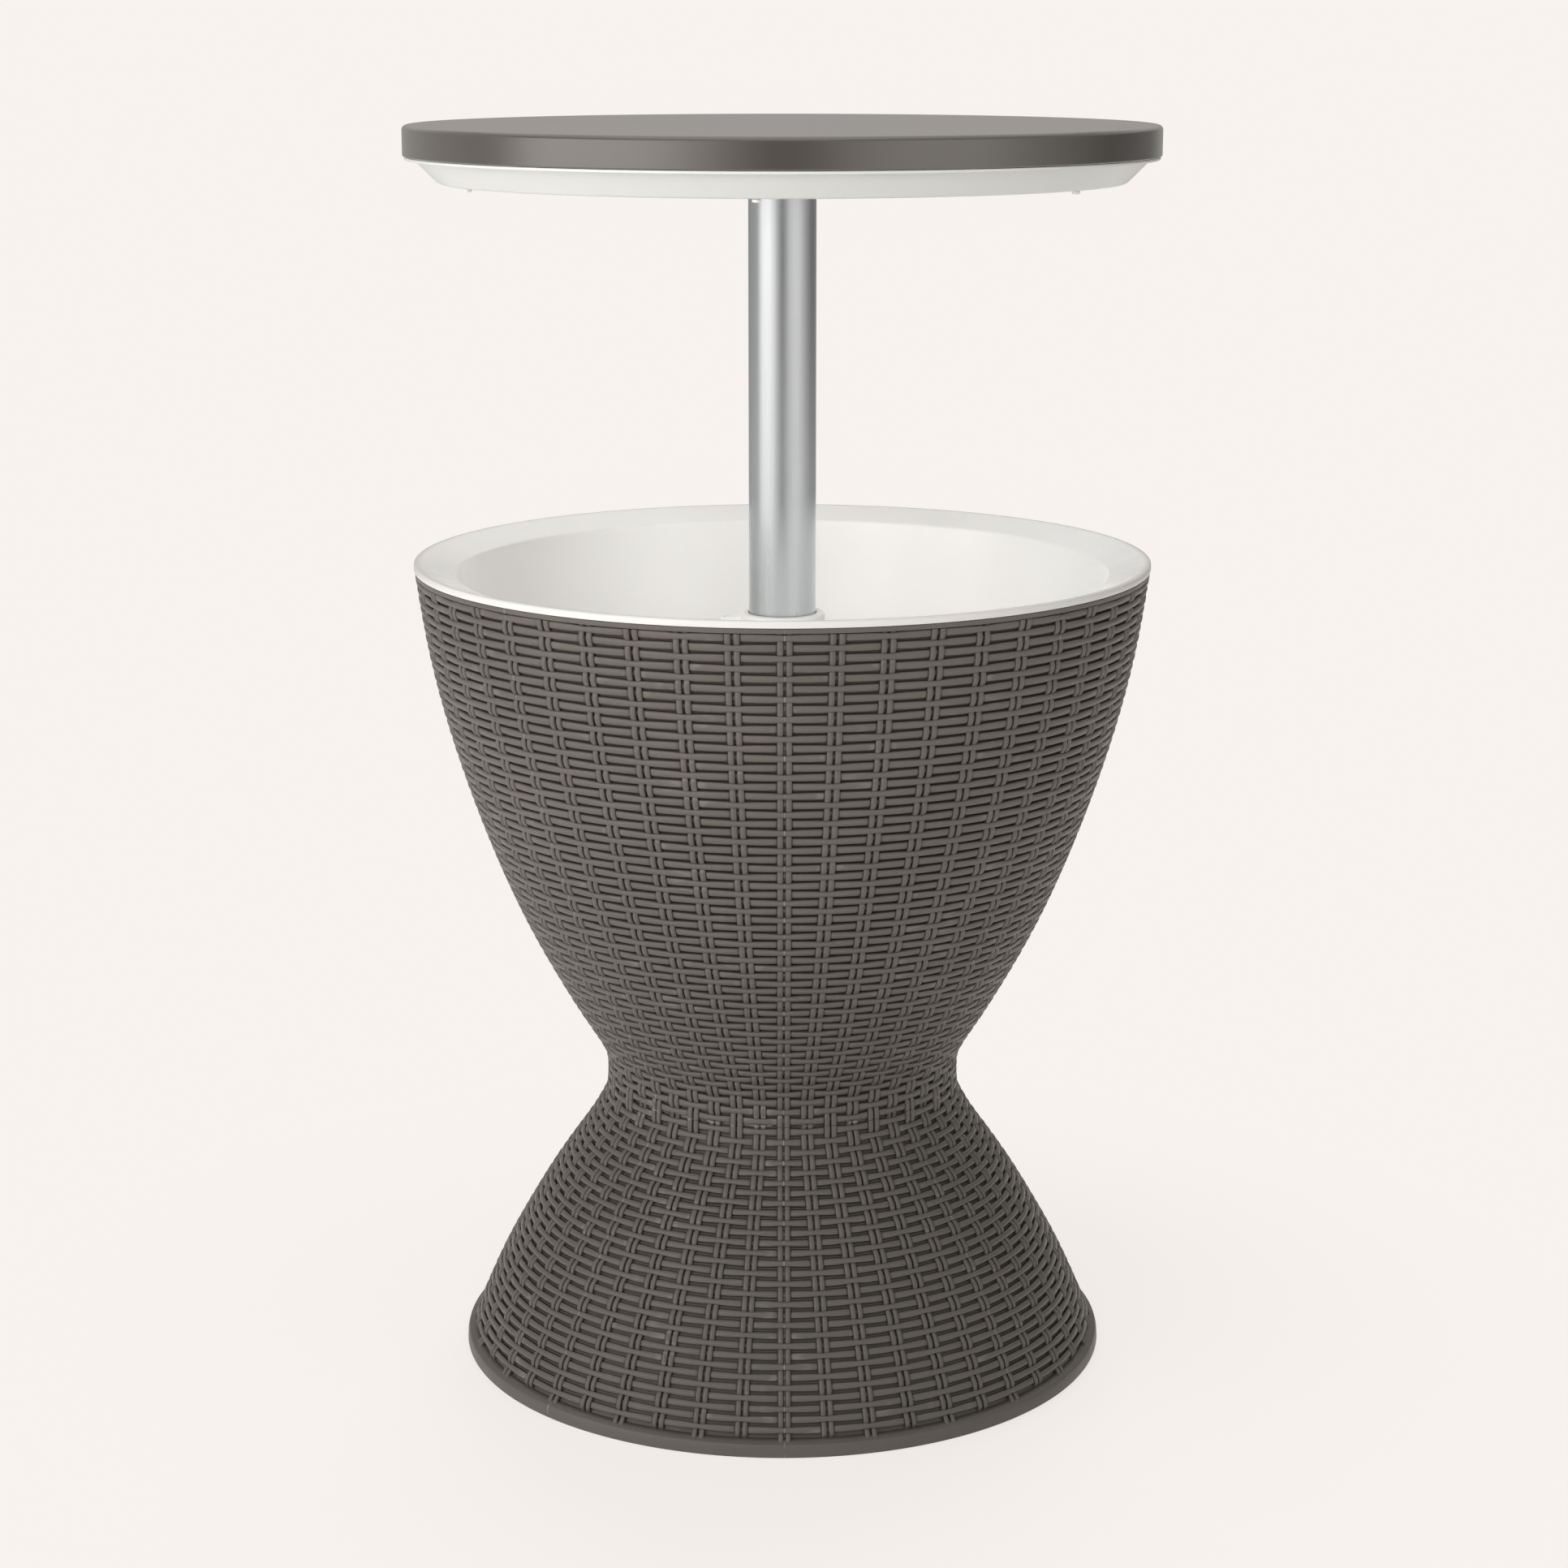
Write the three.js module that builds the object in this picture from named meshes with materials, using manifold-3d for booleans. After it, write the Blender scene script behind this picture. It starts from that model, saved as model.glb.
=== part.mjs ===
// Ice bucket coffee table with a raised top: an hourglass stand that holds a white ice bucket,
// and a round top on a pole that slides down into the bucket's centre column.
// Millimetres, +Z up, origin on the floor at the centre of the foot ring.
import * as THREE from 'three';
import { mergeVertices } from 'three/addons/utils/BufferGeometryUtils.js';
import Module from 'manifold-3d';

const wasm = await Module();
wasm.setup();

// Clearances
const seatGap = 0.3;
const slideGap = 0.4;
const overrun = 2;

// Facets around a full turn and along a rounded edge
const shellSides = 48;
const tubeSides = 24;
const smallSides = 8;
const filletSteps = 3;

// Stand: base shell below the parting line, bucket shell above it
const baseRadius = 222.5;
const baseHeight = 189.5;
const waistRadius = 121.5;
const rimRadius = 246.5;
const bucketShellHeight = 357.9;
const bodyWall = 4.5;
const deckThickness = 4;
const footBandHeight = 6;
const footBandWidth = 8;

// Weave: each pair of stakes stands out as an upright rib from the wall of woven rows between the pairs
const stakePairCount = 48;
const stakePairWidth = 9;
const stakeFlank = 1.2;
const stakeRelief = 1.6;
const topBandHeight = 3.4;

// Outlines of the two shells, each point as a share of the height and of the flare from the waist
const footOutlineShare = 0.977;
const baseOutlineShares = [
  [0.158, 0.876], [0.317, 0.738], [0.475, 0.575], [0.633, 0.396],
  [0.765, 0.226], [0.844, 0.122], [0.908, 0.052], [0.96, 0.01],
];
const bucketOutlineShares = [
  [0.029, 0.001], [0.052, 0.01], [0.077, 0.041], [0.127, 0.129], [0.197, 0.248], [0.308, 0.418],
  [0.448, 0.594], [0.588, 0.738], [0.727, 0.856], [0.867, 0.944],
];

// Ice bucket liner
const lipHeight = 4.5;
const lipOverhang = 0.3;
const lipFillet = 1.4;
const lipCrest = 3;
const funnelDrop = 8;
const linerInset = 27.3;
const linerWall = 3;
const lipRibGap = 1;
const lipRibWidth = 2;
const lipRibDepth = 4.5;
const floorStandoff = 36.2;
const bucketCornerRun = 11;
const bucketCornerRise = 11;

// Centre column, one moulding with the liner, and its spigot through both decks
const columnTopWall = 3.2;
const columnDraft = 5;
const columnFootFillet = 5;
const columnDrop = 55.5;
const columnWall = 3.7;
const spigotReach = 13.5;

// Pole and its running parts
const poleRadius = 22.5;
const poleWall = 1.5;
const sleeveWall = 2.5;
const sleeveHeight = 22.7;
const plugFlangeThickness = 3.7;
const plugFlangeInset = 0.8;
const plugStemHeight = 38;
const rivetRadius = 2;
const rivetHeight = 30;
const rivetEndInset = 0.3;

// Guide bush and lock collar in the column's mouth
const bushSkirtLength = 39.7;
const bushFlangeThickness = 3;
const colletHeight = 11;
const colletWall = 2.3;
const colletSlit = 1.6;
const collarHeight = 14.4;
const collarWall = 3.2;
const collarLidThickness = 3.2;
const collarFillet = 1.2;
const tabReach = 14.2;
const tabWidth = 14;
const tabTipThickness = 2.4;
const tabRootThickness = 7;
const tabDropShare = 0.18;
const tabSlotLength = 8;
const tabSlotWidth = 5;

// Table top
const topHeight = 838;
const plateRadius = 247.5;
const plateEdge = 19.5;
const plateThickness = 3.2;
const plateSkirt = 3;
const plateFillet = 3;
const plateRibWidth = 2.6;
const plateRibDepth = 6;
const plateRibCount = 6;
const trayFlangeInset = 1;
const trayFlange = 2;
const trayDrop = 15.2;
const trayBottomInset = 22.5;
const trayConeRun = 15.2;
const trayWall = 3;
const trayFillet = 3;

// Hub between plate and tray
const hubSocketWall = 4.2;
const hubTopGap = 3.5;
const hubFlangeWidth = 21;
const hubFlangeThickness = 6;
const hubLidThickness = 3;
const hubPinHeight = 13;
const hubPinRadius = 2.5;
const plateRingWidth = 4;

// Screws
const screwShankRadius = 2;
const screwHeadRadius = 4.6;
const screwHeadHeight = 3;
const bossWall = 4;
const hubScrewCount = 4;
const hubScrewInset = 10;
const hubScrewLength = 8;
const trayScrewCount = 6;
const trayScrewRing = 150;
const trayScrewLength = 15;
const jointScrewCount = 4;
const jointScrewInset = 29.5;
const jointScrewLength = 26;

// Rest pads near the tray's edge
const padCount = 6;
const padInset = 5.5;
const padRadius = 2.6;
const padHeight = 2;
const padStemRadius = 1.2;
const padStemLength = 2.2;
const padTurn = -0.07;

// Drain
const drainRing = 78;
const drainBore = 11;
const drainSpigotWall = 3;
const drainSpigotReach = 6.5;
const drainSealThickness = 1.7;
const drainSealRadius = 15;
const drainHeadRadius = 16.5;
const drainHeadThickness = 3;
const drainPlugLength = 18;
const drainGripLength = 24;
const drainGripWidth = 4;
const drainGripHeight = 9;

// Heights that follow from the sizes above
const baseDeckUnderside = baseHeight - deckThickness;
const bucketShellBottom = baseHeight + seatGap;
const bucketDeckTop = bucketShellBottom + deckThickness;
const spigotEnd = baseDeckUnderside - spigotReach;
const drainSpigotEnd = baseDeckUnderside - drainSpigotReach;
const bucketShellTop = bucketShellBottom + bucketShellHeight;
const lipBottom = bucketShellTop + seatGap;
const lipTop = lipBottom + lipHeight;
const funnelBottom = lipTop - funnelDrop;
const bucketFloorUnderside = bucketDeckTop + floorStandoff;
const bucketFloorTop = bucketFloorUnderside + linerWall;
const columnTop = lipTop - columnDrop;
const bushFlangeBottom = columnTop + seatGap;
const bushFlangeTop = bushFlangeBottom + bushFlangeThickness;
const collarBottom = bushFlangeTop + seatGap;
const collarTop = collarBottom + collarHeight;
const colletTop = collarTop - collarLidThickness - seatGap;
const plateBottom = topHeight - plateEdge;
const plateUnderside = topHeight - plateThickness;
const trayFlangeTop = plateBottom - seatGap;
const trayFlangeBottom = trayFlangeTop - trayFlange;
const trayBottom = trayFlangeBottom - trayDrop;
const trayFloorTop = trayBottom + trayWall;
const hubBottom = trayFloorTop + seatGap;
const hubTop = plateUnderside - hubTopGap;
const poleTop = hubTop - hubLidThickness - seatGap;
const bushSkirtBottom = columnTop - bushSkirtLength;
const sleeveTop = bushSkirtBottom - seatGap;
const poleBottom = sleeveTop - sleeveHeight;
const plugFlangeTop = poleBottom - seatGap;

// Radii that follow from the sizes above
const poleBore = poleRadius - poleWall;
const poleGuideBore = poleRadius + slideGap;
const sleeveRadius = poleGuideBore + sleeveWall;
const columnBore = sleeveRadius + slideGap;
const columnTopRadius = columnBore + columnTopWall;
const columnFootRadius = columnTopRadius + columnDraft;
const spigotRadius = columnBore + columnWall;
const deckHoleRadius = spigotRadius + seatGap;
const colletRadius = poleGuideBore + colletWall;
const collarBore = colletRadius + slideGap;
const collarRadius = collarBore + collarWall;
const screwHoleRadius = screwShankRadius + seatGap;
const screwBossRadius = screwHoleRadius + bossWall;
const hubSocketBore = poleRadius + seatGap;
const hubSocketRadius = hubSocketBore + hubSocketWall;
const hubFlangeRadius = hubSocketRadius + hubFlangeWidth;
const hubScrewRing = hubFlangeRadius - hubScrewInset;
const jointScrewRing = waistRadius - jointScrewInset;
const trayBottomRadius = plateRadius - trayBottomInset;
const padRing = trayBottomRadius - padInset;
const drainPlugRadius = drainBore - slideGap;
const drainSpigotRadius = drainBore + drainSpigotWall;

// Finishes
const wickerGrey = new THREE.MeshStandardMaterial({ color: 0x6b655d, roughness: 0.6, metalness: 0 });
const plateGrey = new THREE.MeshStandardMaterial({ color: 0x736c67, roughness: 0.45, metalness: 0 });
const bucketWhite = new THREE.MeshStandardMaterial({ color: 0xf1efe9, roughness: 0.3, metalness: 0 });
const bushWhite = new THREE.MeshStandardMaterial({ color: 0xe6e6e2, roughness: 0.5, metalness: 0 });
const satinAluminium = new THREE.MeshStandardMaterial({ color: 0xc3c7ca, roughness: 0.35, metalness: 1 });
const screwSteel = new THREE.MeshStandardMaterial({ color: 0xa9abad, roughness: 0.3, metalness: 1 });
const sealRubber = new THREE.MeshStandardMaterial({ color: 0x2b2b2c, roughness: 0.8, metalness: 0 });

const part = new THREE.Group();

// Adds one named piece to the part
function addPiece(name, geometry, material) {
  const mesh = new THREE.Mesh(geometry, material);
  mesh.name = name;
  part.add(mesh);
  return mesh;
}

// Closed, welded geometry without normals, its faces turned outwards
function cleanSolid(geometry) {
  geometry.deleteAttribute('normal');
  geometry.deleteAttribute('uv');
  const welded = mergeVertices(geometry);
  const position = welded.attributes.position;
  const corners = welded.index.array;
  const kept = [];
  const a = new THREE.Vector3();
  const b = new THREE.Vector3();
  const c = new THREE.Vector3();
  let volume = 0;
  for (let i = 0; i < corners.length; i += 3) {
    const [i0, i1, i2] = [corners[i], corners[i + 1], corners[i + 2]];
    if (i0 !== i1 && i1 !== i2 && i2 !== i0) {
      kept.push(i0, i1, i2);
      a.fromBufferAttribute(position, i0);
      b.fromBufferAttribute(position, i1);
      c.fromBufferAttribute(position, i2);
      volume += a.dot(b.cross(c));
    }
  }
  if (volume < 0) {
    kept.reverse();
  }
  welded.setIndex(kept);
  return welded;
}

// A boolean solid made from a three.js geometry
function solidOf(geometry) {
  const clean = cleanSolid(geometry);
  return new wasm.Manifold(new wasm.Mesh({
    numProp: 3,
    vertProperties: new Float32Array(clean.attributes.position.array),
    triVerts: new Uint32Array(clean.index.array),
  }));
}

// The three.js geometry of a boolean solid
function geometryOf(solid) {
  const mesh = solid.getMesh();
  const geometry = new THREE.BufferGeometry();
  geometry.setAttribute('position', new THREE.BufferAttribute(mesh.vertProperties, 3));
  geometry.setIndex(new THREE.BufferAttribute(mesh.triVerts, 1));
  geometry.computeVertexNormals();
  return geometry;
}

// A body of revolution about Z from [radius, height] points
function revolve(outline, sides) {
  const points = outline.map(([radius, height]) => new THREE.Vector2(radius, height));
  const geometry = new THREE.LatheGeometry(points, sides);
  geometry.rotateX(Math.PI / 2);
  return cleanSolid(geometry);
}

// A ring or disc of rectangular section
function ring(inner, outer, low, high, sides) {
  return revolve([[inner, low], [outer, low], [outer, high], [inner, high], [inner, low]], sides);
}

// An upright round bar centred at x, y
function bar(radius, low, high, x, y, sides = smallSides) {
  const outline = [[0, low], [radius, low], [radius, high], [0, high]];
  return revolve(outline, sides).translate(x, y, 0);
}

// A round bar along X through the axis
function crossBar(radius, halfLength, height) {
  const geometry = new THREE.CylinderGeometry(radius, radius, halfLength * 2, smallSides);
  geometry.rotateZ(Math.PI / 2);
  return cleanSolid(geometry.translate(0, 0, height));
}

// Block between two corners
function block(low, high) {
  const size = high.map((value, i) => value - low[i]);
  const middle = high.map((value, i) => (value + low[i]) / 2);
  return new THREE.BoxGeometry(...size).translate(...middle);
}

// Places spread evenly on a circle, the first one turned by the given angle
function ringPlaces(count, radius, turn) {
  return Array.from({ length: count }, (unused, i) => {
    const angle = turn + (i * 2 * Math.PI) / count;
    return [radius * Math.cos(angle), radius * Math.sin(angle)];
  });
}

// Quarter arc of outline points between two angles about a centre
function arc(centreRadius, centreHeight, runRadius, rise, from, to) {
  return Array.from({ length: filletSteps + 1 }, (unused, i) => {
    const angle = from + ((to - from) * i) / filletSteps;
    return [centreRadius + runRadius * Math.cos(angle), centreHeight + rise * Math.sin(angle)];
  });
}

// Solid inside an outline of [radius, height, sunk] points: where sunk is true, the wall between the
// pairs of stakes lies back by the relief, with two points on top of each pair and one at either foot
function ribbedSolid(outline) {
  const positions = [];
  outline.forEach(([radius, height, sunk]) => {
    const topAngle = stakePairWidth / 2 / radius;
    const footAngle = (stakePairWidth / 2 + stakeFlank) / radius;
    const footRadius = sunk ? radius - stakeRelief : radius;
    for (let pair = 0; pair < stakePairCount; pair += 1) {
      const middle = (pair * 2 * Math.PI) / stakePairCount;
      const offsets = [-footAngle, -topAngle, topAngle, footAngle];
      const reaches = [footRadius, radius, radius, footRadius];
      offsets.forEach((offset, i) => {
        const angle = middle + offset;
        positions.push(reaches[i] * Math.cos(angle), reaches[i] * Math.sin(angle), height);
      });
    }
  });
  const around = positions.length / outline.length / 3;
  const last = outline.length - 1;
  const corners = [];
  for (let point = 0; point < around; point += 1) {
    const next = (point + 1) % around;
    for (let row = 0; row < last; row += 1) {
      const [here, ahead] = [row * around + point, row * around + next];
      corners.push(here, ahead, ahead + around, here, ahead + around, here + around);
    }
    corners.push(next, point, outline.length * around);
    corners.push(last * around + point, last * around + next, outline.length * around + 1);
  }
  positions.push(0, 0, outline[0][1], 0, 0, outline[last][1]);
  const geometry = new THREE.BufferGeometry();
  geometry.setAttribute('position', new THREE.Float32BufferAttribute(positions, 3));
  geometry.setIndex(corners);
  return geometry;
}

// Joins and cuts, each given as lists of geometries
function shaped(geometry, joins, cuts) {
  let solid = solidOf(geometry);
  for (const join of joins) {
    solid = solid.add(solidOf(join));
  }
  for (const cut of cuts) {
    solid = solid.subtract(solidOf(cut));
  }
  return geometryOf(solid);
}

// Radius of an outline at a height, between its two nearest points
function radiusAt(outline, height) {
  const above = outline.findIndex((point) => point[1] >= height);
  const [lowRadius, low] = outline[above - 1];
  const [highRadius, high] = outline[above];
  return lowRadius + ((highRadius - lowRadius) * (height - low)) / (high - low);
}

const flare = (share, radius) => waistRadius + share * (radius - waistRadius);

const baseOutline = [
  [flare(footOutlineShare, baseRadius), footBandHeight],
  ...baseOutlineShares.map(([up, out]) => [flare(out, baseRadius), up * baseHeight]),
  [waistRadius, baseHeight],
];

const bucketOutline = [
  [waistRadius, bucketShellBottom],
  ...bucketOutlineShares.map(([up, out]) => [
    flare(out, rimRadius), bucketShellBottom + up * bucketShellHeight,
  ]),
  [rimRadius, bucketShellTop],
];

const jointScrewPlaces = ringPlaces(jointScrewCount, jointScrewRing, Math.PI / jointScrewCount);
const hubScrewPlaces = ringPlaces(hubScrewCount, hubScrewRing, Math.PI / hubScrewCount);
const trayScrewPlaces = ringPlaces(trayScrewCount, trayScrewRing, 0);
const padPlaces = ringPlaces(padCount, padRing, padTurn - Math.PI / 2);
const drainPlace = [drainRing, 0];

// Holes that both decks share: four screws and the drain spigot
function deckHoles(low, high) {
  return [
    ...jointScrewPlaces.map(([x, y]) => bar(screwHoleRadius, low, high, x, y)),
    bar(drainSpigotRadius + seatGap, low, high, ...drainPlace, tubeSides),
  ];
}

// Base shell: foot band, flared wall with stake ribs and the deck at the waist
function baseShell() {
  const outside = [
    [baseRadius, 0, false],
    [baseRadius, footBandHeight, false],
    ...baseOutline.map(([radius, height]) => [radius, height, true]),
  ];
  const inside = baseOutline
    .filter(([, height]) => height > footBandHeight && height < baseDeckUnderside)
    .map(([radius, height]) => [radius - bodyWall, height]);
  const hollow = [
    [0, -overrun],
    [baseRadius - footBandWidth, -overrun],
    [baseRadius - footBandWidth, footBandHeight],
    ...inside,
    [waistRadius - bodyWall, baseDeckUnderside],
    [0, baseDeckUnderside],
  ];
  const holeBottom = baseDeckUnderside - overrun;
  const cuts = [
    revolve(hollow, shellSides),
    bar(deckHoleRadius, holeBottom, baseHeight + overrun, 0, 0, shellSides),
    ...deckHoles(holeBottom, baseHeight + overrun),
  ];
  return shaped(ribbedSolid(outside), [], cuts);
}

// Bucket shell: deck at the waist and the flared wall with stake ribs up to the plain band at the rim
function bucketShell() {
  const bandBottom = bucketShellTop - topBandHeight;
  const bandRadius = radiusAt(bucketOutline, bandBottom);
  const outside = [
    ...bucketOutline
      .filter(([, height]) => height < bandBottom)
      .map(([radius, height]) => [radius, height, true]),
    [bandRadius, bandBottom, true],
    [bandRadius, bandBottom, false],
    [rimRadius, bucketShellTop, false],
  ];
  const inside = bucketOutline
    .filter(([, height]) => height > bucketDeckTop)
    .map(([radius, height]) => [radius - bodyWall, height]);
  const hollow = [
    [0, bucketDeckTop],
    [waistRadius - bodyWall, bucketDeckTop],
    ...inside,
    [rimRadius - bodyWall, bucketShellTop + overrun],
    [0, bucketShellTop + overrun],
  ];
  const holeBottom = bucketShellBottom - overrun;
  const cuts = [
    revolve(hollow, shellSides),
    bar(deckHoleRadius, holeBottom, bucketDeckTop + overrun, 0, 0, shellSides),
    ...deckHoles(holeBottom, bucketDeckTop + overrun),
  ];
  return shaped(ribbedSolid(outside), [], cuts);
}

// Ice bucket: lip, funnel edge, wall, floor, centre column, spigots and four screw legs
function bucketLiner() {
  const lipRadius = rimRadius + lipOverhang;
  const cornerTop = bucketFloorTop + bucketCornerRise;
  const wallAt = (height) => radiusAt(bucketOutline, height) - linerInset;
  const wallHeights = bucketOutline
    .map(([, height]) => height)
    .filter((height) => height > cornerTop && height < funnelBottom);
  const cornerCentre = wallAt(cornerTop) - bucketCornerRun;
  const inside = [
    ...wallHeights.reverse().map((height) => [wallAt(height), height]),
    ...arc(cornerCentre, cornerTop, bucketCornerRun, -bucketCornerRise, 0, Math.PI / 2),
  ];
  const outside = [
    ...arc(
      cornerCentre, cornerTop, bucketCornerRun + linerWall, -bucketCornerRise - linerWall,
      Math.PI / 2, 0,
    ),
    ...wallHeights.reverse().map((height) => [wallAt(height) + linerWall, height]),
  ];
  const funnelRadius = wallAt(funnelBottom);
  const ribOuter = rimRadius - bodyWall - lipRibGap;
  const outline = [
    [lipRadius, lipBottom],
    ...arc(lipRadius - lipFillet, lipTop - lipFillet, lipFillet, lipFillet, 0, Math.PI / 2),
    [lipRadius - lipCrest, lipTop],
    [funnelRadius, funnelBottom],
    ...inside,
    [columnFootRadius + columnFootFillet, bucketFloorTop],
    [columnFootRadius, bucketFloorTop + columnFootFillet],
    [columnTopRadius, columnTop],
    [columnBore, columnTop],
    [columnBore, spigotEnd],
    [spigotRadius, spigotEnd],
    [spigotRadius, bucketFloorUnderside],
    ...outside,
    [funnelRadius + linerWall, funnelBottom - linerWall],
    [ribOuter - lipRibWidth, lipBottom - lipRibDepth],
    [ribOuter, lipBottom - lipRibDepth],
    [ribOuter, lipBottom],
    [lipRadius, lipBottom],
  ];
  const legBottom = bucketDeckTop + seatGap;
  const legTop = bucketFloorUnderside + linerWall / 2;
  const legs = jointScrewPlaces.map(([x, y]) => bar(screwBossRadius, legBottom, legTop, x, y));
  const drainSpigot = bar(drainSpigotRadius, drainSpigotEnd, legTop, ...drainPlace, tubeSides);
  const screwTip = baseDeckUnderside + jointScrewLength;
  const cuts = [
    ...jointScrewPlaces.map(([x, y]) => bar(screwHoleRadius, legBottom - overrun, screwTip, x, y)),
    bar(drainBore, drainSpigotEnd - overrun, bucketFloorTop + overrun, ...drainPlace, tubeSides),
  ];
  return shaped(revolve(outline, shellSides), [...legs, drainSpigot], cuts);
}

// Guide bush: skirt in the column's bore, flange on its mouth and a split collet above
function guideBush() {
  const outline = [
    [poleGuideBore, bushSkirtBottom],
    [sleeveRadius, bushSkirtBottom],
    [sleeveRadius, bushFlangeBottom],
    [columnTopRadius, bushFlangeBottom],
    [columnTopRadius, bushFlangeTop],
    [colletRadius, bushFlangeTop],
    [colletRadius, colletTop],
    [poleGuideBore, colletTop],
    [poleGuideBore, bushSkirtBottom],
  ];
  const reach = colletRadius + overrun;
  const halfSlit = colletSlit / 2;
  const top = colletTop + overrun;
  const slits = [
    block([-reach, -halfSlit, colletTop - colletHeight], [reach, halfSlit, top]),
    block([-halfSlit, -reach, colletTop - colletHeight], [halfSlit, reach, top]),
  ];
  return shaped(revolve(outline, tubeSides), [], slits);
}

// Lock collar: a capped ring with a tapered finger tab that has a slot
function lockCollar() {
  const outline = [
    [collarBore, collarBottom],
    [collarRadius, collarBottom],
    ...arc(
      collarRadius - collarFillet, collarTop - collarFillet, collarFillet, collarFillet, 0, Math.PI / 2,
    ),
    [poleGuideBore, collarTop],
    [poleGuideBore, collarTop - collarLidThickness],
    [collarBore, collarTop - collarLidThickness],
    [collarBore, collarBottom],
  ];
  const root = (collarBore + collarRadius) / 2;
  const tip = collarRadius + tabReach;
  const rootTop = collarTop - collarFillet;
  const tipTop = rootTop - tabReach * tabDropShare;
  const side = new THREE.Shape([
    new THREE.Vector2(-root, rootTop),
    new THREE.Vector2(-tip, tipTop),
    new THREE.Vector2(-tip, tipTop - tabTipThickness),
    new THREE.Vector2(-root, rootTop - tabRootThickness),
  ]);
  const tab = new THREE.ExtrudeGeometry(side, { depth: tabWidth, bevelEnabled: false });
  tab.rotateX(Math.PI / 2);
  tab.translate(0, tabWidth / 2, 0);
  const slotMiddle = -collarRadius - tabReach / 2;
  const slot = block(
    [slotMiddle - tabSlotLength / 2, -tabSlotWidth / 2, rootTop - tabRootThickness - overrun],
    [slotMiddle + tabSlotLength / 2, tabSlotWidth / 2, rootTop + overrun],
  );
  return shaped(revolve(outline, tubeSides), [tab], [slot]);
}

// Pole: a plain tube with a pin hole near the top and a rivet hole near the bottom
function poleTube() {
  const cuts = [
    crossBar(hubPinRadius + seatGap, poleRadius + overrun, hubBottom + hubPinHeight),
    crossBar(rivetRadius + seatGap, poleRadius + overrun, poleBottom + rivetHeight),
  ];
  return shaped(ring(poleBore, poleRadius, poleBottom, poleTop, tubeSides), [], cuts);
}

// End plug: a flange under the pole and a stem inside it
function endPlug() {
  const stemRadius = poleBore - slideGap;
  const outline = [
    [0, plugFlangeTop - plugFlangeThickness],
    [sleeveRadius - plugFlangeInset, plugFlangeTop - plugFlangeThickness],
    [sleeveRadius - plugFlangeInset, plugFlangeTop],
    [stemRadius, plugFlangeTop],
    [stemRadius, plugFlangeTop + plugStemHeight],
    [0, plugFlangeTop + plugStemHeight],
  ];
  const rivetHole = crossBar(rivetRadius + seatGap, poleRadius + overrun, poleBottom + rivetHeight);
  return shaped(revolve(outline, tubeSides), [], [rivetHole]);
}

// Hub: flange on the tray's floor and a capped socket for the pole
function topHub() {
  const outline = [
    [hubSocketBore, hubBottom],
    [hubFlangeRadius, hubBottom],
    [hubFlangeRadius, hubBottom + hubFlangeThickness],
    [hubSocketRadius, hubBottom + hubFlangeThickness],
    [hubSocketRadius, hubTop],
    [0, hubTop],
    [0, hubTop - hubLidThickness],
    [hubSocketBore, hubTop - hubLidThickness],
    [hubSocketBore, hubBottom],
  ];
  const low = hubBottom - overrun;
  const high = hubBottom + hubFlangeThickness + overrun;
  const cuts = [
    crossBar(hubPinRadius + seatGap, hubSocketRadius + overrun, hubBottom + hubPinHeight),
    ...hubScrewPlaces.map(([x, y]) => bar(screwHoleRadius, low, high, x, y)),
  ];
  return shaped(revolve(outline, tubeSides), [], cuts);
}

// Plate: flat top with a rounded edge and skirt, screw bosses, a ring over the hub and ribs
function topPlate() {
  const outline = [
    [0, plateUnderside],
    [plateRadius - plateSkirt, plateUnderside],
    [plateRadius - plateSkirt, plateBottom],
    [plateRadius, plateBottom],
    ...arc(plateRadius - plateFillet, topHeight - plateFillet, plateFillet, plateFillet, 0, Math.PI / 2),
    [0, topHeight],
  ];
  const inPlate = topHeight - plateThickness / 2;
  const bossBottom = trayFloorTop + seatGap;
  const bosses = trayScrewPlaces.map(([x, y]) => bar(screwBossRadius, bossBottom, inPlate, x, y));
  const ringInner = hubSocketRadius - plateRingWidth;
  const ringOuter = hubSocketRadius + plateRingWidth;
  const hubRing = ring(ringInner, ringOuter, hubTop + seatGap, inPlate, tubeSides);
  const ribEnd = plateRadius - plateSkirt / 2;
  const ribs = Array.from({ length: plateRibCount }, (unused, i) => {
    const rib = block(
      [ringOuter - plateRingWidth / 2, -plateRibWidth / 2, plateUnderside - plateRibDepth],
      [ribEnd, plateRibWidth / 2, inPlate],
    );
    return rib.rotateZ(((i + 1 / 2) * 2 * Math.PI) / plateRibCount);
  });
  const screwTip = trayBottom + trayScrewLength;
  const cuts = trayScrewPlaces.map(([x, y]) => (
    bar(screwHoleRadius, bossBottom - overrun, screwTip, x, y)
  ));
  return shaped(revolve(outline, shellSides), [...bosses, hubRing, ...ribs], cuts);
}

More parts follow.
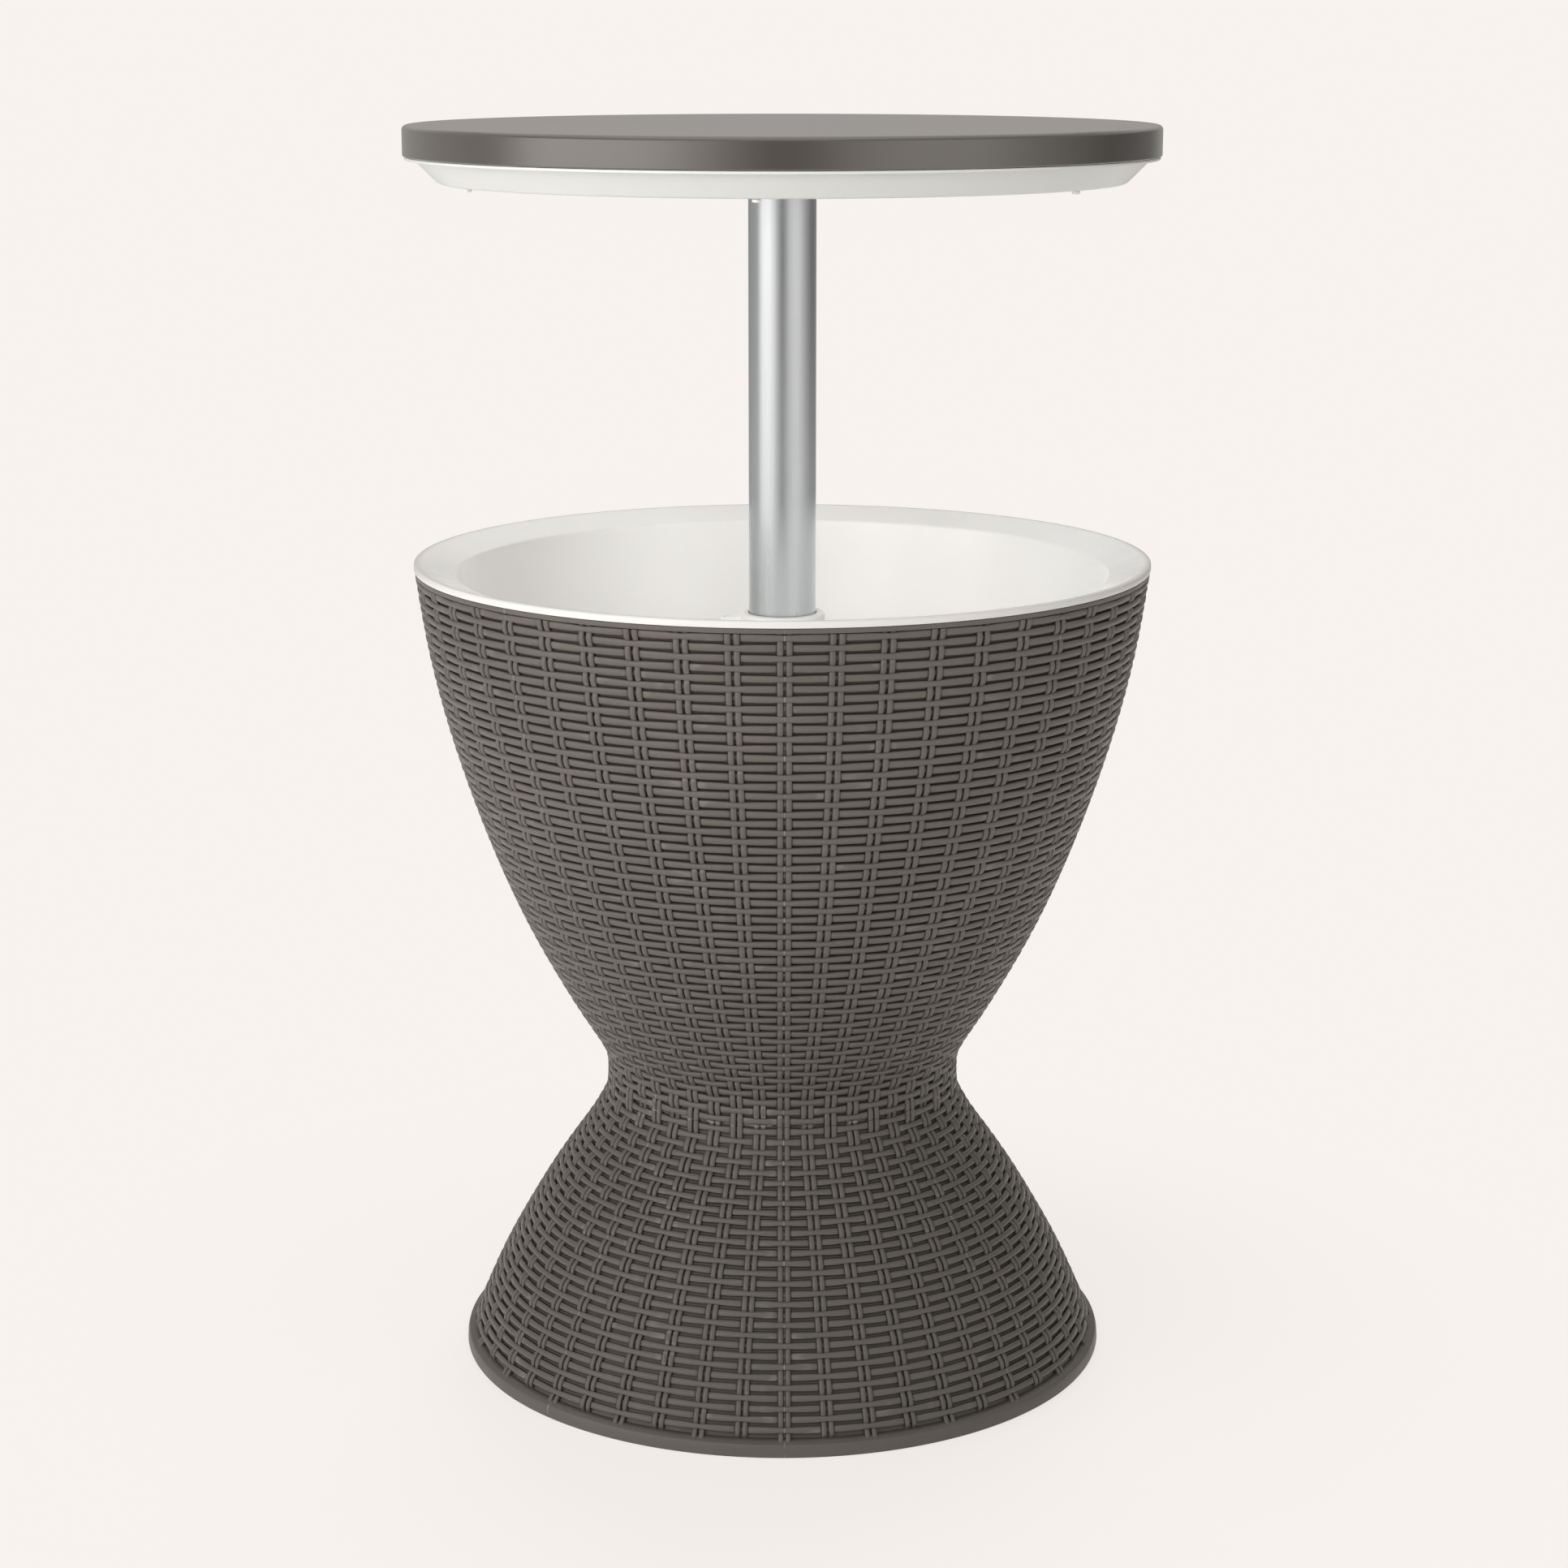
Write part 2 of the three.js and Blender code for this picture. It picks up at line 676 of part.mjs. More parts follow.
// Tray: flange under the plate's skirt, cone and flat bottom with holes for pole, screws and pads
function topTray() {
  const coneSlant = Math.hypot(trayConeRun, trayDrop);
  const coneShift = (trayWall * coneSlant) / trayDrop;
  const coneTop = trayBottomRadius + trayConeRun;
  const coneRise = (height) => ((height - trayFlangeBottom) * trayConeRun) / trayDrop;
  const outline = [
    [hubSocketBore, trayBottom],
    [trayBottomRadius - trayFillet, trayBottom],
    [
      trayBottomRadius + trayFillet * (trayConeRun / coneSlant),
      trayBottom + trayFillet * (trayDrop / coneSlant),
    ],
    [coneTop, trayFlangeBottom],
    [plateRadius - trayFlangeInset, trayFlangeBottom],
    [plateRadius - trayFlangeInset, trayFlangeTop],
    [coneTop - coneShift + coneRise(trayFlangeTop), trayFlangeTop],
    [coneTop - coneShift + coneRise(trayFloorTop), trayFloorTop],
    [hubSocketBore, trayFloorTop],
    [hubSocketBore, trayBottom],
  ];
  const low = trayBottom - overrun;
  const high = trayFloorTop + overrun;
  const screwPlaces = [...trayScrewPlaces, ...hubScrewPlaces];
  const cuts = [
    ...screwPlaces.map(([x, y]) => bar(screwHoleRadius, low, high, x, y)),
    ...padPlaces.map(([x, y]) => bar(padStemRadius + seatGap, low, high, x, y)),
  ];
  return shaped(revolve(outline, shellSides), [], cuts);
}

// Pan head screw driven upwards, its head seated under the given height
function screw(seat, length, x, y) {
  const headTop = seat - seatGap;
  const outline = [
    [0, headTop - screwHeadHeight],
    [screwHeadRadius, headTop - screwHeadHeight],
    [screwHeadRadius, headTop],
    [screwShankRadius, headTop],
    [screwShankRadius, headTop + length],
    [0, headTop + length],
  ];
  return revolve(outline, smallSides).translate(x, y, 0);
}

// Rest pad: a small button under the tray with a stem pushed into its floor
function restPad(x, y) {
  const top = trayBottom - seatGap;
  const outline = [
    [0, top - padHeight],
    [padRadius, top - padHeight],
    [padRadius, top],
    [padStemRadius, top],
    [padStemRadius, top + padStemLength],
    [0, top + padStemLength],
  ];
  return revolve(outline, smallSides).translate(x, y, 0);
}

// Drain plug: stem in the floor's bore, head above the seal and a grip bar
function drainPlug() {
  const headBottom = bucketFloorTop + drainSealThickness + seatGap * 2;
  const headTop = headBottom + drainHeadThickness;
  const outline = [
    [0, headBottom - drainPlugLength],
    [drainPlugRadius, headBottom - drainPlugLength],
    [drainPlugRadius, headBottom],
    [drainHeadRadius, headBottom],
    [drainHeadRadius, headTop],
    [0, headTop],
  ];
  const grip = block(
    [-drainGripWidth / 2, -drainGripLength / 2, headTop - drainHeadThickness / 2],
    [drainGripWidth / 2, drainGripLength / 2, headTop + drainGripHeight],
  );
  return shaped(revolve(outline, tubeSides), [grip], []).translate(...drainPlace, 0);
}

addPiece('base_shell', baseShell(), wickerGrey);
addPiece('bucket_shell', bucketShell(), wickerGrey);
addPiece('bucket_liner', bucketLiner(), bucketWhite);
addPiece('guide_bush', guideBush(), bushWhite);
addPiece('lock_collar', lockCollar(), bushWhite);
addPiece('glide_sleeve', ring(poleGuideBore, sleeveRadius, poleBottom, sleeveTop, tubeSides), bushWhite);
addPiece('pole_tube', poleTube(), satinAluminium);
addPiece('end_plug', endPlug(), bushWhite);
addPiece(
  'end_plug_rivet', crossBar(rivetRadius, poleRadius - rivetEndInset, poleBottom + rivetHeight), screwSteel,
);
addPiece('top_hub', topHub(), bushWhite);
addPiece('pole_pin', crossBar(hubPinRadius, hubSocketRadius, hubBottom + hubPinHeight), screwSteel);
addPiece('top_plate', topPlate(), plateGrey);
addPiece('top_tray', topTray(), bucketWhite);
hubScrewPlaces.forEach(([x, y], i) => {
  addPiece(`hub_screw_${i + 1}`, screw(trayBottom, hubScrewLength, x, y), screwSteel);
});
trayScrewPlaces.forEach(([x, y], i) => {
  addPiece(`tray_screw_${i + 1}`, screw(trayBottom, trayScrewLength, x, y), screwSteel);
});
padPlaces.forEach(([x, y], i) => {
  addPiece(`rest_pad_${i + 1}`, restPad(x, y), bushWhite);
});
jointScrewPlaces.forEach(([x, y], i) => {
  addPiece(`joint_screw_${i + 1}`, screw(baseDeckUnderside, jointScrewLength, x, y), screwSteel);
});
addPiece('drain_plug', drainPlug(), plateGrey);
const sealBottom = bucketFloorTop + seatGap;
const seal = ring(
  drainPlugRadius + seatGap, drainSealRadius, sealBottom, sealBottom + drainSealThickness, tubeSides,
);
addPiece('drain_seal', seal.translate(...drainPlace, 0), sealRubber);

export default part;
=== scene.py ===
import math
from collections import namedtuple

import bpy
import numpy as np
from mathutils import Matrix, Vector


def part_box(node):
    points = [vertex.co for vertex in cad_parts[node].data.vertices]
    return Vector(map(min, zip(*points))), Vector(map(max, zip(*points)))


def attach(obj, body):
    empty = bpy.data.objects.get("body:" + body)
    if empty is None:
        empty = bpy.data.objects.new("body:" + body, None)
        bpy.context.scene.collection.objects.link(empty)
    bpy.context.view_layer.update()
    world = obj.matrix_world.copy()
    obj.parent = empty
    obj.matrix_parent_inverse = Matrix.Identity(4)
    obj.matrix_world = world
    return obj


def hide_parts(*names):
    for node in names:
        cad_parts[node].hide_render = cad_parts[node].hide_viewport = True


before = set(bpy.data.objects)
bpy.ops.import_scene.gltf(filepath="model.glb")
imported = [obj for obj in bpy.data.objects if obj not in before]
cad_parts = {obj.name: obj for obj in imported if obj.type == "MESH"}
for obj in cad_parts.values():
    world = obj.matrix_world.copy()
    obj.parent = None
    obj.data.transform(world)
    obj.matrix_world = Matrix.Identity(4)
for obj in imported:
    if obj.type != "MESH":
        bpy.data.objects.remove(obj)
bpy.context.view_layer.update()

# All lengths are in millimetres until a mesh is made of them
MM = 0.001
X, Y, Z = range(3)
FULL_TURN = 2 * math.pi
WELD = 1e-4
TINY = 1e-9


def ends(node, axis=Z):
    """Lowest and highest reach of a frame node along an axis, in millimetres."""
    return [corner[axis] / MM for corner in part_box(node)]


def extent(node):
    """Radius, foot and head of a round frame node whose middle is the axis."""
    return ends(node, X)[1], *ends(node)


def upright(node):
    """Centre in plan, radius, foot and head of a small round frame node that stands off the axis."""
    (left, right), (front, back), (foot, head) = (ends(node, axis) for axis in (X, Y, Z))
    return ((left + right) / 2, (front + back) / 2), (right - left) / 2, foot, head


# Sizes that the frame gives
base_radius, _, base_top = extent("base_shell")
rim_radius, bucket_bottom, bucket_top = extent("bucket_shell")
lip_radius, spigot_end, lip_top = extent("bucket_liner")
bush_flange_radius, bush_bottom, bush_top = extent("guide_bush")
collar_radius, collar_bottom, collar_top = extent("lock_collar")
tab_tip = -ends("lock_collar", X)[0]
sleeve_radius = ends("glide_sleeve", X)[1]
pole_radius, pole_bottom, pole_top = extent("pole_tube")
plate_radius, _, plate_top = extent("top_plate")
tray_radius, tray_bottom, tray_top = extent("top_tray")
hub_radius, _, hub_top = extent("top_hub")

# Sizes of the stand, as in the part's source; a bore is a radius
seat_gap = 0.3
slide_gap = 0.4
waist_radius = 121.5
body_wall = 4.5
deck_thickness = 4
foot_share = 0.977
foot_point_height = 6
base_shares = [
    (0.158, 0.876), (0.317, 0.738), (0.475, 0.575), (0.633, 0.396),
    (0.765, 0.226), (0.844, 0.122), (0.908, 0.052), (0.96, 0.01),
]
bucket_shares = [
    (0.029, 0.001), (0.052, 0.01), (0.077, 0.041), (0.127, 0.129), (0.197, 0.248), (0.308, 0.418),
    (0.448, 0.594), (0.588, 0.738), (0.727, 0.856), (0.867, 0.944),
]
bucket_height = bucket_top - bucket_bottom
spigot_radius = 29.5
drain_place = (78, 0)
drain_bore = 11
drain_spigot_radius = 14
drain_spigot_end = 179
leg_radius = 6.3

# Facets
shell_sides = 192
tube_sides = 96
small_sides = 40
sharp_edge = math.radians(38)
strand_edge = math.radians(80)
screw_edge = math.radians(30)


def natural_spline(knots, values, at):
    """Natural cubic spline through knots and values, worked out at the points `at`.

    The bends at the knots solve the three-band system h0*m0 + 2*(h0+h1)*m1 + h1*m2 = 6*(slope1-slope0),
    and each span is the cubic that joins its two knots with these bends.
    """
    knots, values, at = (np.asarray(a, float) for a in (knots, values, at))
    gap = np.diff(knots)
    slope = np.diff(values) / gap
    bands = np.diag([1, *2 * (gap[:-1] + gap[1:]), 1])
    bands += np.diag([*gap[:-1], 0], -1) + np.diag([0, *gap[1:]], 1)
    bend = np.linalg.solve(bands, [0, *6 * np.diff(slope), 0])
    span = np.clip(np.searchsorted(knots, at, side="right") - 1, 0, len(gap) - 1)
    start, width = at - knots[span], gap[span]
    end = width - start
    return (
        (bend[span] * end**3 + bend[span + 1] * start**3) / (6 * width)
        + (values[span] / width - bend[span] * width / 6) * end
        + (values[span + 1] / width - bend[span + 1] * width / 6) * start
    )


def flared(share, radius):
    """Radius that stands out from the waist by a share of the flare."""
    return waist_radius + share * (radius - waist_radius)


# The hourglass outline as one smooth curve of radius over height
outline_knots = np.array(
    [(foot_point_height, flared(foot_share, base_radius))]
    + [(up * base_top, flared(out, base_radius)) for up, out in base_shares]
    + [((base_top + bucket_bottom) / 2, waist_radius)]
    + [(bucket_bottom + up * bucket_height, flared(out, rim_radius)) for up, out in bucket_shares]
    + [(bucket_top, rim_radius)]
)
outline_samples = 6000
outline_height = np.linspace(foot_point_height, bucket_top, outline_samples)
outline_radius = natural_spline(outline_knots[:, 0], outline_knots[:, 1], outline_height)
outline_slope = np.gradient(outline_radius, outline_height)

# Run is the length along the outline from the floor; the weave's rows are spaced by it
parting_run = 216.3
outline_run = np.concatenate(
    [[0], np.cumsum(np.hypot(np.diff(outline_radius), np.diff(outline_height)))]
)
outline_run += parting_run - np.interp(base_top, outline_height, outline_run)


def outline_at(run):
    """Radius, height and outward normal (radial and upward shares) of the outline at a run."""
    slope = np.interp(run, outline_run, outline_slope)
    length = np.hypot(1, slope)
    radius = np.interp(run, outline_run, outline_radius)
    height = np.interp(run, outline_run, outline_height)
    return radius, height, 1 / length, -slope / length


def radius_at(height):
    """Radius of the outline at a height."""
    return np.interp(height, outline_height, outline_radius)


# ---- Meshes ----


def put_mesh(name, points, faces):
    """Blender mesh of points in millimetres and blocks of faces with equal corner counts.

    Faces are turned so that the volume, the sum of p0.(p1 x p2)/6 over their fans, is positive.
    """
    volume = 0.0
    for block in faces:
        for last in range(2, block.shape[1]):
            a, b, c = points[block[:, 0]], points[block[:, last - 1]], points[block[:, last]]
            volume += np.einsum("ij,ij->", a, np.cross(b, c))
    if volume < 0:
        faces = [block[:, ::-1] for block in faces]
    corners = np.concatenate([block.ravel() for block in faces])
    counts = np.concatenate([np.full(len(block), block.shape[1]) for block in faces])
    starts = np.cumsum(counts) - counts
    mesh = bpy.data.meshes.new(name)
    mesh.vertices.add(len(points))
    mesh.vertices.foreach_set("co", (points * MM).astype(np.float32).ravel())
    mesh.loops.add(len(corners))
    mesh.loops.foreach_set("vertex_index", corners.astype(np.int32))
    mesh.polygons.add(len(counts))
    mesh.polygons.foreach_set("loop_start", starts.astype(np.int32))
    mesh.update(calc_edges=True)
    return mesh


def welded(points, quads):
    """Points that coincide become one, and a face keeps only its different corners."""
    keys = np.round(points / WELD).astype(np.int64)
    first, back = np.unique(keys, axis=0, return_index=True, return_inverse=True)[1:]
    quads = back.reshape(-1)[quads]
    kept = quads != np.roll(quads, -1, axis=1)
    count = kept.sum(axis=1)
    whole = quads[count == 4]
    three = quads[count == 3][kept[count == 3]].reshape(-1, 3)
    return points[first], [block for block in (whole, three) if len(block)]


def grid_quads(*shape, wrap_rows=True, wrap_columns=True):
    """Four corner numbers of each cell of one or more grids, joined end to start where they wrap."""
    index = np.arange(math.prod(shape)).reshape(shape)
    below = np.roll(index, -1, axis=-2)
    cells = np.stack([index, np.roll(index, -1, -1), np.roll(below, -1, -1), below], axis=-1)
    cells = cells if wrap_rows else cells[..., :-1, :, :]
    cells = cells if wrap_columns else cells[..., :-1, :]
    return cells.reshape(-1, 4)


def angles(sides):
    """Equal steps of a full turn."""
    return np.arange(sides) * FULL_TURN / sides


def bulged(wave, power=0.5):
    """Values between -1 and 1 with their size raised to a power, which makes a circle an oblong."""
    return np.sign(wave) * np.abs(wave) ** power


def rounded(corners, steps=6):
    """Closed profile whose corners (radius, height, rounding) are circular arcs tangent to both sides.

    With u and v the directions to the two neighbours and half their angle q, the arc starts and ends
    at rounding/tan(q) from the corner and its centre lies rounding/sin(q) along the halfway direction.
    """
    corners = np.asarray(corners, float)
    point, rounding = corners[:, :2], corners[:, 2:]
    back = np.roll(point, 1, axis=0) - point
    ahead = np.roll(point, -1, axis=0) - point
    back /= np.linalg.norm(back, axis=1, keepdims=True) + TINY
    ahead /= np.linalg.norm(ahead, axis=1, keepdims=True) + TINY
    middle = back + ahead
    middle /= np.linalg.norm(middle, axis=1, keepdims=True) + TINY
    half = np.arccos(np.clip((back * middle).sum(1, keepdims=True), -1, 1))
    reach = rounding / np.tan(np.maximum(half, TINY))
    centre = point + middle * rounding / np.sin(np.maximum(half, TINY))
    share = np.linspace(0, 1, steps)[None, :, None]
    start = (point + back * reach - centre)[:, None]
    end = (point + ahead * reach - centre)[:, None]
    spoke = start * (1 - share) + end * share
    spoke *= rounding[:, None] / (np.linalg.norm(spoke, axis=2, keepdims=True) + TINY)
    arcs = np.where(rounding[:, None] > 0, centre[:, None] + spoke, point[:, None])
    profile = arcs.reshape(-1, 2)
    keep = np.linalg.norm(profile - np.roll(profile, 1, axis=0), axis=1) > WELD
    return profile[keep]


def turned(profile, sides, centre=(0, 0), closed=True):
    """A profile of radius and height carried round an upright axis: x = r*sin(a), y = -r*cos(a)."""
    profile = np.asarray(profile, float)
    angle = angles(sides)
    radius, height = profile[:, :1], profile[:, 1:]
    points = np.stack(
        [centre[0] + radius * np.sin(angle), centre[1] - radius * np.cos(angle), height + 0 * angle], -1
    )
    return welded(points.reshape(-1, 3), grid_quads(len(profile), sides, wrap_rows=closed))


def drum(inner, outer, low, high, sides, centre=(0, 0)):
    """Plain ring between two heights, or a disc where the inner radius is 0."""
    return turned([(inner, low), (outer, low), (outer, high), (inner, high)], sides, centre)


def tubes(rings, looped=False):
    """Solids from points by tube, step and place in the ring, with capped ends unless they are loops."""
    index = np.arange(rings[..., X].size).reshape(rings.shape[:3])
    faces = [grid_quads(*index.shape, wrap_rows=looped)]
    if not looped:
        faces.append(np.concatenate([index[:, 0, ::-1], index[:, -1]]))
    return rings.reshape(-1, 3), faces


def slab(low, high):
    """Upright block between two corners, as a four-cornered section carried from its foot to its head."""
    corner = np.array([(0, 0), (1, 0), (1, 1), (0, 1)])
    low, high = np.asarray(low, float), np.asarray(high, float)
    plan = low[:2] + corner * (high - low)[:2]
    return tubes(np.array([[np.column_stack([plan, np.full(4, level)]) for level in (low[Z], high[Z])]]))


def cross_bar(radius, reach, height):
    """Round bar along X through the axis, as a circle carried from one end to the other."""
    angle = angles(small_sides)
    ring = np.column_stack([0 * angle, radius * np.cos(angle), height + radius * np.sin(angle)])
    return tubes(np.array([[ring + (end, 0, 0) for end in (-reach, reach)]]))


def turned_over(points, angle):
    """Points turned about the pole's axis by an angle."""
    sine, cosine = math.sin(angle), math.cos(angle)
    return points @ np.array([(cosine, sine, 0), (-sine, cosine, 0), (0, 0, 1)])


def new_object(name, points, faces):
    """Object at the origin that holds a new mesh."""
    piece = bpy.data.objects.new(name, put_mesh(name, points, faces))
    bpy.context.scene.collection.objects.link(piece)
    return piece


def turned_piece(name, corners, sides, steps=6, centre=(0, 0)):
    """Object turned from the corners (radius, height, rounding) of a profile."""
    return new_object(name, *turned(rounded(corners, steps), sides, centre))


def shaped(piece, operation, points, faces):
    """Adds a solid to a piece or cuts it out, and keeps the result as the piece's own mesh."""
    tool = new_object("shaping_tool", points, faces)
    change = piece.modifiers.new("shaping", "BOOLEAN")
    change.operation = operation
    change.solver = "EXACT"
    change.object = tool
    evaluated = piece.evaluated_get(bpy.context.evaluated_depsgraph_get())
    result = bpy.data.meshes.new_from_object(evaluated)
    piece.modifiers.clear()
    spare = piece.data
    piece.data = result
    result.name = piece.name
    bpy.data.meshes.remove(spare)
    spare = tool.data
    bpy.data.objects.remove(tool)
    bpy.data.meshes.remove(spare)


def dressed(piece, body, slot, finish, sharp=sharp_edge):
    """Smooth shading with crisp edges past an angle, one finish, and the body that the piece rides on."""
    piece.data.shade_smooth()
    piece.data.set_sharp_from_angle(angle=sharp)
    piece.data.materials.clear()
    piece.data.materials.append(finish)
    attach(piece, body)


# ---- Finishes ----


def linear(red, green, blue):
    """Colour written as 0-255 screen values, turned into the light values that shaders take."""
    screen = np.array([red, green, blue]) / 255
    light = np.where(screen <= 0.04045, screen / 12.92, ((screen + 0.055) / 1.055) ** 2.4)
    return (*light.tolist(), 1.0)


class Nodes:
    """Puts nodes and links into a node tree."""

    def __init__(self, tree):
        self.tree = tree

    def node(self, kind, inputs=(), **settings):
        """New node with its settings and with its inputs fed."""
        made = self.tree.nodes.new(kind)
        for name, value in settings.items():
            setattr(made, name, value)
        self.feed(made, inputs)
        return made

    def feed(self, node, inputs):
        """Feeds a node's inputs, in order or by key: a socket is linked and a plain value is written."""
        for key, value in inputs.items() if isinstance(inputs, dict) else enumerate(inputs):
            if isinstance(value, bpy.types.NodeSocket):
                self.tree.links.new(value, node.inputs[key])
            else:
                node.inputs[key].default_value = value

    def maths(self, operation, *values):
        return self.node("ShaderNodeMath", values, operation=operation).outputs[0]

    def times(self, first, second):
        return self.maths("MULTIPLY", first, second)

    def larger(self, first, second):
        return self.maths("MAXIMUM", first, second)

    def seen(self):
        """1 for the rays that come from the camera, from mirrors and through glass."""
        path = self.node("ShaderNodeLightPath").outputs
        seen = self.larger(path["Is Camera Ray"], path["Is Glossy Ray"])
        return self.larger(seen, path["Is Transmission Ray"])

    def glow(self, kind, colour, strength=1.0):
        """Light of one colour, from an emission or a background node."""
        return self.node(kind, (colour, strength)).outputs[0]

    def blend(self, share, first, second):
        """Two shaders mixed by a share."""
        return self.node("ShaderNodeMixShader", (share, first, second)).outputs[0]

    def show(self, kind, shader):
        """Puts a shader on the output of the material or the world."""
        self.feed(self.tree.nodes[kind + " Output"], {"Surface": shader})


class Finish(Nodes):
    """A material that is put together from noise, colour mixes and bumps on object coordinates."""

    def __init__(self, name, colour, roughness, metallic=0.0, specular=0.5):
        self.material = bpy.data.materials.new(name)
        self.material.use_nodes = True
        super().__init__(self.material.node_tree)
        self.shader = self.tree.nodes["Principled BSDF"]
        looks = {"Base Color": colour, "Roughness": roughness, "Metallic": metallic}
        self.feed(self.shader, {**looks, "Specular IOR Level": specular})
        self.place = self.node("ShaderNodeTexCoord").outputs["Object"]
        self.normal = None

    def noise(self, scale, detail, rough, place=None):
        inputs = {"Vector": place or self.place, "Scale": scale, "Detail": detail, "Roughness": rough}
        return self.node("ShaderNodeTexNoise", inputs).outputs["Fac"]

    def spread(self, value, low, high, to_low=0.0, to_high=1.0, smooth=False):
        """Value from one range carried to another and held at its ends."""
        curve = "SMOOTHSTEP" if smooth else "LINEAR"
        values = (value, low, high, to_low, to_high)
        return self.node("ShaderNodeMapRange", values, clamp=True, interpolation_type=curve).outputs[0]

    def patches(self, scale, detail, rough, *ranges):
        """Noise whose values between two levels are spread over a range."""
        return self.spread(self.noise(scale, detail, rough), *ranges)

    def around_axis(self):
        """Distance from the pole's axis, height, and the two plan coordinates, in metres."""
        x, y, z = self.node("ShaderNodeSeparateXYZ", [self.place]).outputs
        squares = self.maths("ADD", self.times(x, x), self.times(y, y))
        return self.maths("SQRT", squares), z, x, y

    def mixed(self, share, first, second):
        """Colour between two colours."""
        return self.node("ShaderNodeMix", {0: share, 6: first, 7: second}, data_type="RGBA").outputs[2]

    def relief(self, height, depth):
        """Bump whose full height is the given depth in millimetres, laid over the bumps before it."""
        under = {"Normal": self.normal} if self.normal else {}
        bump = self.node("ShaderNodeBump", {"Distance": depth * MM, "Height": height, **under})
        self.normal = bump.outputs["Normal"]

    def done(self, colour=None, roughness=None):
        """Puts colour, roughness and bumps on the shader, where there are any."""
        inputs = {"Base Color": colour, "Roughness": roughness, "Normal": self.normal}
        self.feed(self.shader, {name: value for name, value in inputs.items() if value})
        return self.material


# Turn of the whole weave about the axis
weave_turn = math.radians(0.38)

# Tone of the woven resin: how far painted shade darkens it in the recess and, between two heights in
# metres, at the foot; number of mould lines, and widths of the flash marks in millimetres
painted_recess_shade = 0.62
painted_low_shade = 0.6
painted_low_shade_heights = (0.12, 0.40)
mould_lines = 8
mould_line_width = 0.55
parting_fleck_width = 0.7

# White resin: width in millimetres and strength of the painted shade on the lip's edge
edge_shade_width = 5
edge_shade_share = 0.7


def wicker_resin():
    """Taupe grey resin of the weave: cloudy tone, fine moulded grain and painted shade towards the foot.

    Painted shade darkens the resin with its depth in the weave. Traces of mould flash show pale on lines
    every 45 degrees and at the parting of the two shells; pale flecks along the shoulders of the strands
    are partly mould flash and partly painted highlight.
    """
    finish = Finish("wicker_resin", linear(96, 91, 86), 0.45)

    def flash(distance, width, core, *patches):
        """Broken line that is full within width/core of its middle and gone at its width."""
        line = finish.spread(distance, width / core * MM, width * MM, 1.0, 0.0, smooth=True)
        return finish.times(line, finish.patches(*patches))

    tone = finish.mixed(finish.patches(9, 4, 0.6, 0.35, 0.65), linear(88, 83, 78), linear(95, 90, 84))
    speckle = finish.patches(420, 3, 0.6, 0.3, 0.75)
    tone = finish.mixed(finish.times(speckle, 0.35), tone, linear(101, 96, 90))
    radius, z, x, y = finish.around_axis()
    # Painted shade: the foot and the lower body darken towards this colour
    tone = finish.mixed(finish.spread(z, *painted_low_shade_heights, painted_low_shade, 0.0), tone, linear(76, 72, 67))
    # Painted shade: the sunk ground between the strands darkens towards this colour
    sunk = finish.node("ShaderNodeAttribute", attribute_name="depth").outputs["Fac"]
    tone = finish.mixed(finish.spread(sunk, 0.2, 0.85, 0.0, painted_recess_shade), tone, linear(34, 32, 30))
    angle = finish.maths("SUBTRACT", finish.maths("ARCTAN2", x, finish.times(y, -1.0)), weave_turn)
    beside = finish.times(finish.maths("PINGPONG", angle, FULL_TURN / mould_lines / 2), radius)
    line = flash(beside, mould_line_width, 4, 130, 2, 0.5, 0.42, 0.6)
    parting = finish.maths("ABSOLUTE", finish.maths("SUBTRACT", z, (base_top + seat_gap / 2) * MM))
    fleck = flash(parting, parting_fleck_width, 3, 75, 2, 0.5, 0.5, 0.62)
    # Pale flecks on the strands' shoulders: partly mould flash, partly painted highlight
    shoulder_flash_and_glint = finish.times(finish.spread(sunk, 0.1, 0.2), finish.spread(sunk, 0.34, 0.24))
    shoulder_flash_and_glint = finish.times(shoulder_flash_and_glint, finish.patches(48, 2, 0.5, 0.6, 0.68))
    # Pale marks: mould flash on the lines and the parting, and flash with painted highlight on the shoulders
    flash_and_glint = finish.larger(finish.times(line, 0.45), finish.times(fleck, 0.8))
    flash_and_glint = finish.larger(flash_and_glint, finish.times(shoulder_flash_and_glint, 0.17))
    tone = finish.mixed(flash_and_glint, tone, linear(168, 162, 154))
    finish.relief(finish.noise(260, 3, 0.55), 0.10)
    finish.relief(finish.noise(1500, 2, 0.6), 0.03)
    finish.relief(line, 0.12)
    return finish.done(tone, finish.patches(60, 3, 0.6, 0.3, 0.7, 0.40, 0.52))


def plate_resin(name, base, light, roughness, coat=0.0):
    """Taupe grey resin with a fine satin grain."""
    finish = Finish(name, base, roughness[0], specular=0.95)
    tone = finish.mixed(finish.patches(7, 4, 0.6, 0.35, 0.65), base, light)
    tone = finish.mixed(finish.times(finish.patches(900, 3, 0.6, 0.3, 0.7), 0.25), tone, light)
    finish.feed(finish.shader, {"Coat Weight": coat, "Coat Roughness": roughness[0]})
    finish.relief(finish.noise(1100, 3, 0.6), 0.014)
    finish.relief(finish.noise(25, 2, 0.5), 0.05)
    return finish.done(tone, finish.patches(35, 3, 0.6, 0.3, 0.7, *roughness))


